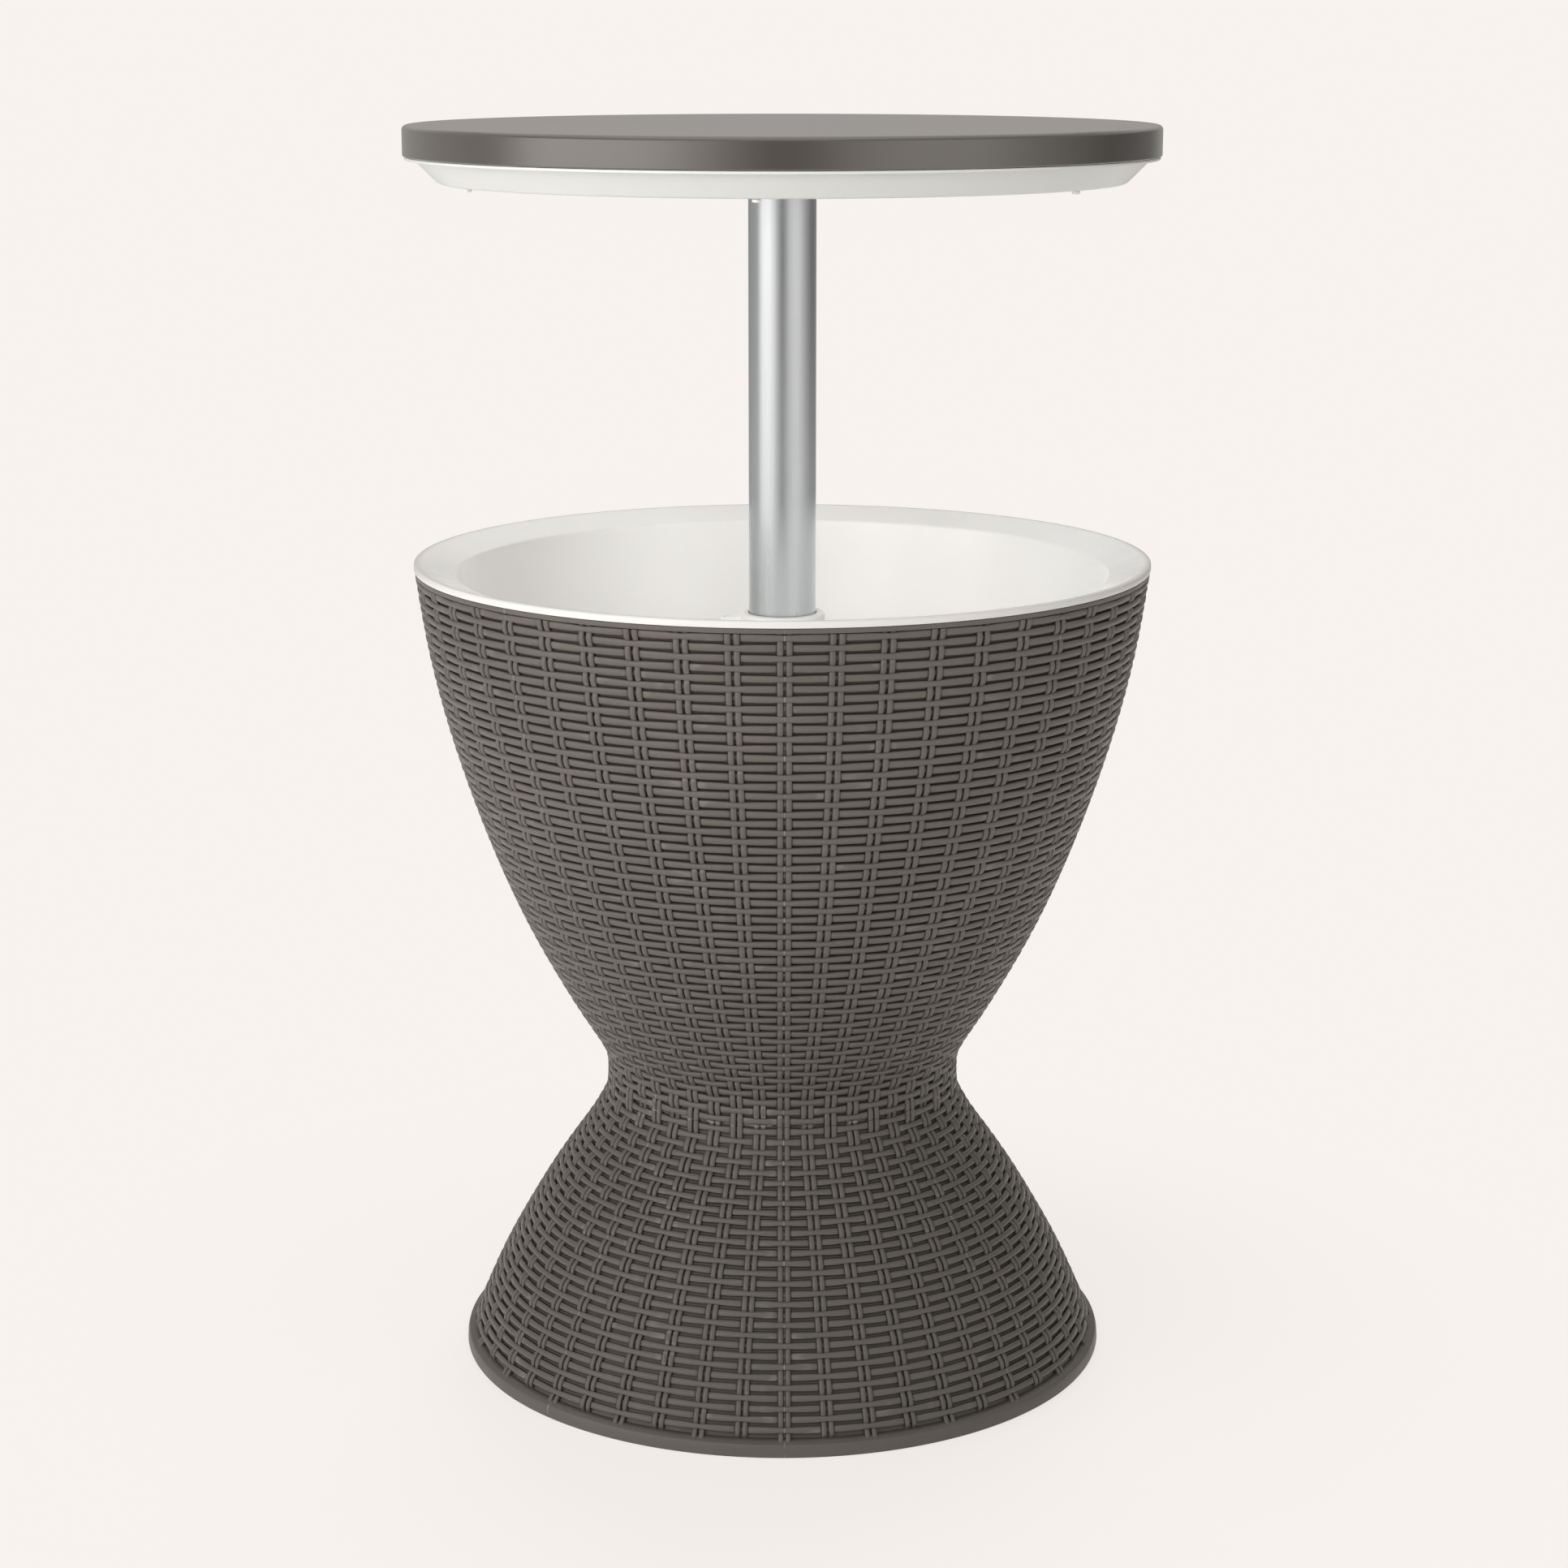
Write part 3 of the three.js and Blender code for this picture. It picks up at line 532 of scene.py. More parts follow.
def white_resin(name, base, shade, roughness, ripple, edge_shade_from=None):
    """White resin: faint cream clouds, a slow ripple from moulding and fine scuffs in the gloss.

    Past a radius, given in millimetres as the last argument, painted shade greys the edge.
    """
    finish = Finish(name, base, roughness[0])
    tone = finish.mixed(finish.patches(5, 4, 0.55, 0.35, 0.65), shade, base)
    if edge_shade_from:
        # Painted shade: past the given radius the lip's edge greys towards this colour
        from_axis = finish.around_axis()[0]
        edge_shade_to = edge_shade_from + edge_shade_width
        edge_shade = finish.spread(from_axis, edge_shade_from * MM, edge_shade_to * MM, 0.0, edge_shade_share, smooth=True)
        tone = finish.mixed(edge_shade, tone, linear(212, 210, 206))
    finish.relief(finish.noise(14, 2, 0.5), ripple)
    finish.relief(finish.noise(700, 2, 0.5), 0.012)
    return finish.done(tone, finish.patches(40, 5, 0.7, 0.35, 0.75, *roughness))


def pole_aluminium():
    """Satin anodised tube, drawn lengthways: fine streaks along the pole in gloss, tone and bump."""
    finish = Finish("pole_aluminium", linear(205, 209, 213), 0.3, metallic=1.0)
    drawn = finish.node("ShaderNodeMapping", {"Vector": finish.place, "Scale": (1.0, 1.0, 0.012)}).outputs[0]
    streak, broad = (finish.noise(scale, 3, 0.6, drawn) for scale in (1300, 160))
    tone = finish.mixed(finish.spread(streak, 0.3, 0.7), linear(203, 207, 211), linear(208, 212, 215))
    tone = finish.mixed(finish.times(finish.spread(broad, 0.35, 0.7), 0.35), tone, linear(198, 202, 206))
    finish.relief(streak, 0.0012)
    return finish.done(tone, finish.spread(broad, 0.3, 0.7, 0.27, 0.31))


def screw_zinc():
    """Bright zinc with faint turning marks and dull patches."""
    finish = Finish("screw_zinc", linear(190, 193, 196), 0.3, metallic=1.0)
    patch = finish.patches(300, 4, 0.6, 0.35, 0.65)
    tone = finish.mixed(patch, linear(176, 178, 180), linear(204, 206, 208))
    finish.relief(finish.noise(2500, 2, 0.5), 0.015)
    return finish.done(tone, finish.spread(patch, 0.0, 1.0, 0.38, 0.24))


def seal_rubber():
    """Black rubber with a matt bloom."""
    finish = Finish("seal_rubber", linear(38, 38, 39), 0.75)
    bloom = finish.patches(180, 4, 0.6, 0.35, 0.7)
    tone = finish.mixed(bloom, linear(32, 32, 33), linear(52, 51, 50))
    finish.relief(finish.noise(1400, 3, 0.6), 0.04)
    return finish.done(tone, finish.spread(bloom, 0.0, 1.0, 0.66, 0.82))


wicker = wicker_resin()
plate_grey = plate_resin("plate_grey", linear(65, 60, 55), linear(71, 66, 61), (0.20, 0.23), coat=1.0)
plug_grey = plate_resin("plug_grey", linear(112, 106, 101), linear(122, 116, 111), (0.4, 0.5))
# The bucket's white greys with painted shade on the lip's edge, from 6 mm inside the lip
bucket_white = white_resin(
    "bucket_white", linear(249, 248, 246), linear(247, 245, 242), (0.14, 0.24), 0.10, lip_radius - 6,
)
bush_white = white_resin("bush_white", linear(236, 236, 232), linear(230, 230, 225), (0.38, 0.5), 0.04)
tray_white = white_resin("tray_white", linear(219, 222, 218), linear(216, 219, 215), (0.30, 0.34), 0.03)
aluminium = pole_aluminium()
zinc = screw_zinc()
rubber = seal_rubber()

for node, finish in (
    ("glide_sleeve", bush_white), ("end_plug", bush_white), ("end_plug_rivet", zinc),
    ("top_hub", bush_white), ("pole_pin", zinc), ("drain_seal", rubber),
):
    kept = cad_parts[node]
    kept.data.materials.clear()
    kept.data.materials.append(finish)


# ---- Wicker weave of the two shells ----

pair_count = 48
pair_angle = FULL_TURN / pair_count
weave_recess = 3.4
strand_top = 3.4
strand_thickness = 1.9

# Weave of a shell: run of its first row, pitch and number of rows, half width of a weaver, height of
# the low ridge between two weavers, and the parity of the pairs that cover the first row
Weave = namedtuple("Weave", "first_run pitch rows half_width ridge parity")
base_weave = Weave(18.0, 6.724, 30, 2.28, 1.0, 1)
bucket_weave = Weave(220.0, 6.551, 58, 2.4, 0.5, 0)

# Section of a strand as sideways and outward shares: a superellipse front and a flat sunk back
section_angle = np.radians([-20, 20, 52, 90, 128, 160, 200])
section_side = np.append(bulged(np.cos(section_angle)), [-0.6, 0.6])
section_out = np.append(bulged(np.sin(section_angle)), [-0.9, -0.9])

# Weaver: how much slimmer it is over a pair, how far it sags between pairs, and how it dives beside the
# pair that covers it
crossing_slimming = 0.26
crossing_length = 6.5
weaver_sag = 0.7
weaver_dip = 1.5
dive_length = 2.1
dive_tuck = 0.35
dive_shares = np.array([0, 0.12, 0.42, 1])
dive_slimming = 0.22

# Stakes: half width and spacing of a pair's two strands at the foot, the waist and the rim
stake_runs = (0, parting_run, 600)
stake_half_widths = (1.68, 1.86, 1.98)
stake_spacings = (4.85, 4.7, 5.66)
stake_dip = 1.55
stake_steps_per_row = 4
stake_foot = 9.9
foot_dip_run = 14.5
foot_dip = 2.0
foot_dip_length = 3.5
top_band_run = 596.4
stake_end_gap = 0.4
stake_step_margin = 0.3

# Small differences in width from strand to strand
chance = np.random.default_rng(7)
unevenness = 0.02

# Heights between which a point can be part of the weave, and the depth past which it is an inner wall
woven_from = 10.2
woven_to = float(np.interp(top_band_run, outline_run, outline_height)) - 0.1
weave_limit = 1.15


def mark_depth(piece):
    """Gives each point its depth in the weave, from 0 at the crowns to 1 at the ground, as an attribute.

    The depth is the distance in from the outline over the recess, and 0 on the walls behind the ground.
    """
    count = len(piece.data.vertices)
    points = np.empty(count * 3, np.float32)
    piece.data.vertices.foreach_get("co", points)
    points = points.reshape(-1, 3) / MM
    radius, height = np.hypot(points[:, X], points[:, Y]), points[:, Z]
    run = np.interp(height, outline_height, outline_run)
    outward = outline_at(run)[2]
    depth = (radius_at(height) - radius) * outward / weave_recess
    woven = (height > woven_from) & (height < woven_to) & (depth < weave_limit)
    depth = np.where(woven, np.clip(depth, 0, 1), 0)
    piece.data.attributes.new("depth", "FLOAT", "POINT").data.foreach_set("value", depth.astype(np.float32))


def woven(piece, **edges):
    """Marks a piece of wicker with its depth and dresses it."""
    mark_depth(piece)
    dressed(piece, "stand", "wicker_resin", wicker, **edges)


def strands(name, run, angle, top, looped):
    """Piece of the weave from the run and angle of its points, by strand, step and place in the section.

    A strand's half thickness is thickness*(0.6+0.4*top/full top), so it thins as it sinks. A point is the
    outline's point moved along its outward normal by the point's height less the recess, and then
    carried round the axis to its angle.
    """
    half = (strand_thickness * (0.6 + 0.4 * top / strand_top))[..., None]
    lift = top[..., None] - half + half * section_out - weave_recess
    radius, level, out, up = outline_at(run)
    radius = radius + lift * out
    angle = angle + weave_turn
    points = np.broadcast_arrays(radius * np.sin(angle), -radius * np.cos(angle), level + lift * up)
    woven(new_object(name, *tubes(np.stack(points, -1), looped)), sharp=strand_edge)


def weavers(name, weave, rows):
    """Horizontal strands, one loop a row, that pass over and under the pairs of stakes in turn.

    With d the distance from the pair that covers the strand and p the distance between pairs, its top
    stands at full height less sag*(1-cos(pi*(1-d/p)))/2 less dip*(1-rise), where rise is a quarter
    circle over the dive's length. It is slimmer over a pair, by a bell curve exp(-(e/length)^2) of the
    distance e from that pair, and in the dive. The section is carried along that line round the outline.
    """
    run = weave.first_run + weave.pitch * rows
    radius = outline_at(run)[0]
    pair_arc = (radius * pair_angle)[:, None]
    pair_half = np.interp(run, stake_runs, stake_spacings) / 2
    pair_half = pair_half + np.interp(run, stake_runs, stake_half_widths)
    dive_start = (pair_half - dive_tuck)[:, None]
    dive = dive_start + dive_length * dive_shares
    rest = dive[:, -1:] + (pair_arc - dive[:, -1:]) * np.array([1 / 3, 2 / 3, 1])
    half = np.concatenate([0 * dive_start, dive, rest], 1)
    along = np.concatenate([half, 2 * pair_arc - half[:, -2:0:-1]], 1)
    distance = np.minimum(along, 2 * pair_arc - along)
    share = np.clip((distance - dive_start) / dive_length, 0, 1)
    rise = np.sqrt(1 - (1 - share) ** 2)
    over = 1 - distance / pair_arc
    top = strand_top - weaver_sag * (1 - np.cos(np.pi * over)) / 2 - weaver_dip * (1 - rise)
    periods = pair_count // 2
    first = ((rows + weave.parity) % 2)[:, None, None] + 2 * np.arange(periods)[:, None]
    angle = (first * pair_angle + (along / radius[:, None])[:, None, :]).reshape(len(rows), -1)
    top = np.tile(top, (1, periods))
    rise = np.tile(rise, (1, periods))
    uneven = chance.normal(0, 1, (len(rows), periods))
    uneven = np.repeat(uneven, along.shape[1], axis=1)
    crossing = np.exp(-(((pair_arc - distance) / crossing_length) ** 2))
    width = weave.half_width * (1 - dive_slimming * (1 - rise)) * (1 + unevenness * uneven)
    width = width * (1 - crossing_slimming * np.tile(crossing, (1, periods)))
    strands(name, run[:, None, None] + width[..., None] * section_side, angle[..., None], top, looped=True)


def stakes(name, weave, start, end, pairs):
    """Upright strands in pairs that follow the outline and sink under every second weaver.

    The top stands at full height less dip*((1+cos(pi*(row+pair+1-parity)))/2)^1.4, with row counted
    along the run; the foot of every second pair sinks away above the foot band.
    """
    run = weave.first_run + weave.pitch * np.arange(-1, weave.rows, 1 / stake_steps_per_row)
    within = (run > start + stake_step_margin) & (run < end - stake_step_margin)
    run = np.concatenate([[start], run[within], [end]])
    lowest_row = -1 if start < weave.first_run - weave.pitch else 0
    row = np.clip((run - weave.first_run) / weave.pitch, lowest_row, weave.rows - 1)
    phase = np.cos(np.pi * (row[None] + pairs[:, None] + 1 - weave.parity))
    top = strand_top - stake_dip * ((1 + phase) / 2) ** 1.4
    odd = (pairs % 2)[:, None]
    top = top - odd * foot_dip * np.clip((foot_dip_run - run) / foot_dip_length, 0, 1)
    spacing = np.interp(run, stake_runs, stake_spacings)
    width = np.interp(run, stake_runs, stake_half_widths)
    radius = outline_at(run)[0]
    top = np.repeat(top, 2, axis=0)
    side = np.tile([-1, 1], len(pairs))[:, None]
    centre = np.repeat(pairs, 2)[:, None] * pair_angle + side * spacing / 2 / radius
    width = width * (1 + unevenness * chance.normal(0, 1, (len(centre), 1)))
    angle = centre[..., None] + (width / radius)[..., None] * section_side
    strands(name, run[None, :, None], angle, top, looped=False)


weavers("base_weavers", base_weave, np.arange(base_weave.rows))
middle_row = bucket_weave.rows // 2
weavers("bucket_weavers_lower", bucket_weave, np.arange(middle_row))
weavers("bucket_weavers_upper", bucket_weave, np.arange(middle_row, bucket_weave.rows))
stakes("base_stakes", base_weave, stake_foot, parting_run, np.arange(pair_count))
stake_head = top_band_run - stake_end_gap
for side_name, pairs in zip(("right", "left"), np.arange(pair_count).reshape(2, -1)):
    stakes("bucket_stakes_" + side_name, bucket_weave, parting_run + seat_gap, stake_head, pairs)


def ground_profile(start, end, weave):
    """Corners of the sunk ground between two runs, with a low ridge halfway between each two weavers.

    The outline is moved in along its normal by the recess less the ridge's height at each run.
    """
    middle = weave.first_run + weave.pitch * (np.arange(weave.rows - 1) + 0.5)
    run = (middle[:, None] + ridge_half_width * np.array([-1, -0.6, 0.6, 1])).ravel()
    lift = np.tile([0, weave.ridge, weave.ridge, 0], weave.rows - 1)
    run, lift = np.concatenate([[start], run, [end]]), np.concatenate([[0], lift, [0]])
    radius, height, out, up = outline_at(run)
    sunk = weave_recess - lift
    return corners(radius - sunk * out, height - sunk * up)


def corners(radius, height):
    """Profile corners without rounding."""
    return list(zip(*np.broadcast_arrays(radius, height, 0.0)))


def drilled_shell(piece, low, high):
    """Cuts the drain's hole through a shell's deck and dresses the shell."""
    hole = drum(0, drain_spigot_radius + seat_gap, low, high, tube_sides, drain_place)
    shaped(piece, "DIFFERENCE", *hole)
    woven(piece)


# Foot band as distance in from the foot's radius, height and rounding
foot_band = [(0.9, 0, 0.8), (0, 0, 0.9), (0.35, 5.4, 0), (1.15, 8.3, 1.6), (4.4, 9.7, 1.2)]
foot_band_inset = 8
ground_start = 13.2
ridge_half_width = 0.38
top_band_inset = 0.15
deck_hole_radius = spigot_radius + seat_gap


def base_shell_skin():
    """Foot band, sunk ground, deck and inner wall as one turned profile, with the drain's deck hole."""
    deck_bottom = base_top - deck_thickness
    inner = np.linspace(deck_bottom - 3, 12, 40)
    piece = turned_piece("base_shell_skin", [
        (base_radius - foot_band_inset, 0, 0.6),
        *((base_radius - inset, height, rounding) for inset, height, rounding in foot_band),
        *ground_profile(ground_start, parting_run - 0.3, base_weave),
        (waist_radius - weave_recess, base_top, 0), (deck_hole_radius, base_top, 0),
        (deck_hole_radius, deck_bottom, 0.4), (waist_radius - body_wall, deck_bottom, 2),
        *corners(radius_at(inner) - body_wall, inner),
        (base_radius - foot_band_inset, 7, 1),
    ], shell_sides)
    drilled_shell(piece, base_top - 2 * deck_thickness, base_top + deck_thickness)
    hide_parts("base_shell")


def bucket_shell_skin():
    """Deck, sunk ground, top band and inner wall as one turned profile, with the drain's deck hole."""
    deck_top = bucket_bottom + deck_thickness
    inner = np.linspace(bucket_top - 3, deck_top + 4, 60)
    band_radius, band_height, out, up = outline_at(top_band_run)
    piece = turned_piece("bucket_shell_skin", [
        (deck_hole_radius, bucket_bottom, 0), (waist_radius - weave_recess, bucket_bottom, 0),
        *ground_profile(parting_run + 0.5, top_band_run - 0.2, bucket_weave),
        (band_radius - weave_recess * out, band_height - weave_recess * up, 0),
        (band_radius - top_band_inset, band_height, 0.35), (rim_radius - top_band_inset, bucket_top, 0.5),
        (rim_radius - body_wall, bucket_top, 0), *corners(radius_at(inner) - body_wall, inner),
        (waist_radius - body_wall, deck_top, 1.5), (deck_hole_radius, deck_top, 0),
    ], shell_sides)
    drilled_shell(piece, bucket_bottom - deck_thickness, bucket_bottom + 2 * deck_thickness)
    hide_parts("bucket_shell")


base_shell_skin()
bucket_shell_skin()


# ---- Ice bucket, column, bush and collar ----

lip_height = 4.5
funnel_drop = 8
liner_inset = 27.3
liner_wall = 3
floor_top = 233
column_top = bush_bottom + 39.7
column_foot_radius = 34
column_top_radius = 29
column_bore = sleeve_radius + slide_gap
cut_margin = 4


def bucket_liner_skin():
    """Lip, funnel edge, wall, floor and column as one turned profile, with drain spigot and screw legs."""
    lip_bottom = lip_top - lip_height
    funnel_bottom = lip_top - funnel_drop
    funnel_radius = radius_at(funnel_bottom) - liner_inset
    wall = np.linspace(funnel_bottom - 5, floor_top + 16, 70)
    inside = radius_at(wall) - liner_inset
    foot_radius = radius_at(floor_top + 8) - liner_inset
    floor_bottom = floor_top - liner_wall
    rib, rib_bottom = rim_radius - body_wall - 1, lip_bottom - 4.5
    piece = turned_piece("bucket_liner_skin", [
        (lip_radius, lip_bottom, 0.5), (lip_radius, lip_top, 1.5), (lip_radius - 3, lip_top, 1.2),
        (funnel_radius, funnel_bottom, 2.2), *corners(inside, wall), (foot_radius - 3.5, floor_top, 10),
        (column_foot_radius + 1, floor_top, 5), (column_top_radius, column_top, 1.2),
        (column_bore, column_top, 0), (column_bore, spigot_end, 0.5), (spigot_radius, spigot_end, 0.5),
        (spigot_radius, floor_bottom, 0), (foot_radius - 2, floor_bottom, 12),
        *corners(inside[::-1] + liner_wall, wall[::-1]),
        (funnel_radius + liner_wall, funnel_bottom - liner_wall, 1),
        (rib - 2, rib_bottom, 0.3), (rib, rib_bottom, 0.3), (rib, lip_bottom, 0),
    ], shell_sides)
    middle = floor_top - liner_wall / 2
    spigot = rounded([
        (0, drain_spigot_end, 0), (drain_spigot_radius, drain_spigot_end, 0.5),
        (drain_spigot_radius, middle, 0), (0, middle, 0),
    ])
    shaped(piece, "UNION", *turned(spigot, tube_sides, drain_place))
    leg_bottom = bucket_bottom + deck_thickness + seat_gap
    for number in range(1, 5):
        centre = upright(f"joint_screw_{number}")[0]
        shaped(piece, "UNION", *drum(0, leg_radius, leg_bottom, middle, small_sides, centre))
    bore_low, bore_high = drain_spigot_end - cut_margin, floor_top + cut_margin
    shaped(piece, "DIFFERENCE", *drum(0, drain_bore, bore_low, bore_high, tube_sides, drain_place))
    dressed(piece, "stand", "bucket_white", bucket_white)
    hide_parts("bucket_liner")


def guide_bush_skin():
    """Skirt, flange and split collet of the bush, turned and slit in four."""
    bore = pole_radius + slide_gap
    collet_radius = bore + 2.3
    flange_bottom = column_top + seat_gap
    piece = turned_piece("guide_bush_skin", [
        (bore, bush_bottom, 0.4), (sleeve_radius, bush_bottom, 0.8), (sleeve_radius, flange_bottom, 0),
        (bush_flange_radius, flange_bottom, 0.7), (bush_flange_radius, flange_bottom + 3, 0.9),
        (collet_radius, flange_bottom + 3, 0.3), (collet_radius, bush_top, 0.8), (bore, bush_top, 0.4),
    ], tube_sides)
    slit_half, slit_foot, reach = 0.8, bush_top - 11, collet_radius + 2
    for x, y in ((reach, slit_half), (slit_half, reach)):
        shaped(piece, "DIFFERENCE", *slab((-x, -y, slit_foot), (x, y, bush_top + 2)))
    dressed(piece, "stand", "bush_white", bush_white)
    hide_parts("guide_bush")


def finger_tab(root, tip, top, width=14, drop=2.56, root_thickness=7, tip_thickness=2.4):
    """Tapered tab: a rounded oblong section carried along X, thinner and lower towards a rounded tip.

    The section is the superellipse |u|^4 + |v|^4 = 1. Its width closes by sqrt(1-share^7) towards the
    tip, and its thickness by about two thirds of that, so that the tab ends rounded in plan.
    """
    share = np.sin(np.linspace(0, np.pi / 2, 22))[:, None]
    angle = angles(28)[None]
    close = np.maximum(1 - share**7, 0) ** 0.5
    half_width = width / 2 * (1 - 0.12 * share) * close
    half = (root_thickness + (tip_thickness - root_thickness) * share) / 2
    z = top - drop * share - half + half * (0.35 + 0.65 * close) * bulged(np.sin(angle))
    x = -(root + (tip - root) * share) + 0 * angle
    return tubes(np.stack([x, half_width * bulged(np.cos(angle)), z], -1)[None])


def lock_collar_skin():
    """Capped ring that clamps the pole, with its finger tab and the slot in the tab."""
    bore = pole_radius + slide_gap
    wall, slot_half, slot_stretch = 3.2, 2.5, 1.5
    ring_bore, lid_bottom = collar_radius - wall, collar_top - wall
    piece = turned_piece("lock_collar_skin", [
        (ring_bore, collar_bottom, 0.4), (collar_radius, collar_bottom, 0.5),
        (collar_radius, collar_top, 2.6), (bore, collar_top, 1.0), (bore, lid_bottom, 0.3),
        (ring_bore, lid_bottom, 0.3),
    ], tube_sides)
    shaped(piece, "UNION", *finger_tab(collar_radius - wall / 2, tab_tip, collar_top - 1.4))
    points, faces = drum(0, slot_half, collar_top - 12, collar_top + 2, small_sides)
    points[:, X] += np.where(points[:, X] > 0, slot_stretch, -slot_stretch) - (collar_radius + tab_tip) / 2
    shaped(piece, "DIFFERENCE", points, faces)
    dressed(piece, "collar", "bush_white", bush_white)
    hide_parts("lock_collar")


bucket_liner_skin()
guide_bush_skin()
lock_collar_skin()


# ---- Pole and table top ----


def pole_skin():
    """Drawn tube with broken edges and the holes for the pin and the rivet."""
    bore = pole_radius - 1.5
    profile = rounded([
        (bore, pole_bottom, 0.3), (pole_radius, pole_bottom, 0.4),
        (pole_radius, pole_top, 0.4), (bore, pole_top, 0.3),
    ], 4)
    levels = np.linspace(pole_bottom + 5, pole_top - 5, 12)
    split = int(np.argmax(profile[:, 1] > (pole_bottom + pole_top) / 2))
    outer = np.column_stack([np.full(len(levels), pole_radius), levels])
    profile = np.concatenate([profile[:split], outer, profile[split:]])
    piece = new_object("pole_skin", *turned(profile, tube_sides))
    for node, radius in (("pole_pin", 2.8), ("end_plug_rivet", 2.3)):
        shaped(piece, "DIFFERENCE", *cross_bar(radius, pole_radius + 4, sum(ends(node)) / 2))
    dressed(piece, "table_top", "pole_aluminium", aluminium)
    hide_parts("pole_tube")


def top_plate_skin():
    """Flat round plate with a rounded edge and skirt, with screw bosses, a ring over the hub and ribs."""
    skirt, thickness, edge = 3, 3.2, 19.5
    underside, bottom = plate_top - thickness, plate_top - edge
    profile = rounded([
        (0, underside, 0), (plate_radius - skirt, underside, 1.5), (plate_radius - skirt, bottom, 0.5),
        (plate_radius, bottom, 0.7), (plate_radius, plate_top, 3), (0, plate_top, 0),
    ], 9)
    flat = np.linspace(plate_radius - 6, 20, 9)
    profile = np.concatenate([profile[:-1], np.column_stack([flat, 0 * flat + plate_top]), profile[-1:]])
    piece = new_object("top_plate_skin", *turned(profile, shell_sides))
    middle = plate_top - thickness / 2
    boss_bottom = tray_bottom + 3.3
    for number in range(1, 7):
        centre = upright(f"tray_screw_{number}")[0]
        shaped(piece, "UNION", *drum(0, leg_radius, boss_bottom, middle, small_sides, centre))
    ring_radius, ring_half = hub_radius - 21, 4
    ring_inner, ring_outer = ring_radius - ring_half, ring_radius + ring_half
    shaped(piece, "UNION", *drum(ring_inner, ring_outer, hub_top + seat_gap, middle, tube_sides))
    rib_half, rib_drop = 1.3, 6
    for number in range(6):
        rib_low = (ring_radius + 2, -rib_half, underside - rib_drop)
        points, faces = slab(rib_low, (plate_radius - skirt / 2, rib_half, middle))
        shaped(piece, "UNION", turned_over(points, (number + 0.5) * FULL_TURN / 6), faces)
    dressed(piece, "table_top", "top_grey", plate_grey)
    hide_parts("top_plate")


def top_tray_skin():
    """White tray under the plate: flange, cone and flat bottom round the pole's hole."""
    flange, cone_run, wall = 2, 15.2, 3
    flange_bottom = tray_top - flange
    bottom_radius = plate_radius - 22.5
    slant = wall * math.sqrt(2)
    hole = pole_radius + seat_gap
    piece = turned_piece("top_tray_skin", [
        (hole, tray_bottom, 0.6), (bottom_radius, tray_bottom, 4.5),
        (bottom_radius + cone_run, flange_bottom, 1.2), (tray_radius, flange_bottom, 0.7),
        (tray_radius, tray_top, 0.7), (bottom_radius + cone_run + flange - slant, tray_top, 0),
        (bottom_radius + wall - slant, tray_bottom + wall, 2), (hole, tray_bottom + wall, 0.4),
    ], shell_sides, 8)
    dressed(piece, "table_top", "bucket_white", tray_white)
    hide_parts("top_tray")


pole_skin()
top_plate_skin()
top_tray_skin()


# ---- Screws, rest pads and drain plug ----


def pan_head_screw(node, body):
    """Pan head screw with a cross recess, on a polar grid.

    The head's face falls back from its middle by dome*(r/R)^2. Inside the cross, where |x| or |y| is
    under the slot's half width and both are under its reach, it goes in by the slot's depth.
    """
    centre, head_radius, face, tip = upright(node)
    head_foot, shank = face + 3, 2
    slot_half, slot_reach, slot_depth, dome = 0.62, 2.5, 1.7, 0.55
    spokes = np.array([0, 0.3, 0.55, 0.7, 0.9, 1.3, 1.7, 2.1, 2.35, 2.5, 2.62, 3.1, 3.6])
    angle = angles(64)
    x, y = spokes[:, None] * np.cos(angle), spokes[:, None] * np.sin(angle)
    inner, outer = np.sort(np.abs([x, y]), axis=0)
    inside = np.clip((slot_half - inner) / 0.12, 0, 1) * np.clip((slot_reach - outer) / 0.2, 0, 1)
    level = face + dome * (spokes[:, None] / head_radius) ** 2 + slot_depth * inside
    rim = rounded([
        (0, face + dome, 0), (head_radius, face + dome, 0.9), (head_radius, head_foot, 0.2),
        (shank, head_foot, 0), (shank, tip - 2, 0), (0, tip, 0),
    ], 5)
    rim = np.concatenate([rim[rim[:, 0] > spokes[-1] / 2], [(0, tip)]])
    ring = np.stack([rim[:, :1] * np.cos(angle), rim[:, :1] * np.sin(angle), rim[:, 1:] + 0 * angle], -1)
    points = np.concatenate([np.stack([x, y, level], -1), ring]) + (*centre, 0)
    quads = grid_quads(*points.shape[:2], wrap_rows=False)
    piece = new_object(node + "_head", *welded(points.reshape(-1, 3), quads))
    dressed(piece, body, "screw_steel", zinc, sharp=screw_edge)
    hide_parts(node)


for number in range(1, 5):
    pan_head_screw(f"joint_screw_{number}", "stand")
    pan_head_screw(f"hub_screw_{number}", "table_top")
for number in range(1, 7):
    pan_head_screw(f"tray_screw_{number}", "table_top")


def rest_pad(node):
    """Domed button with a stem in the tray's floor."""
    centre, radius, foot, tip = upright(node)
    stem_radius, collar = 1.2, foot + 2
    piece = turned_piece(node + "_button", [
        (0, foot, 0), (radius, foot, 1.1), (radius, collar, 0.2),
        (stem_radius, collar, 0), (stem_radius, tip, 0.2), (0, tip, 0),
    ], small_sides, centre=centre)
    dressed(piece, "table_top", "bush_white", bush_white)
    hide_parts(node)


for number in range(1, 7):
    rest_pad(f"rest_pad_{number}")


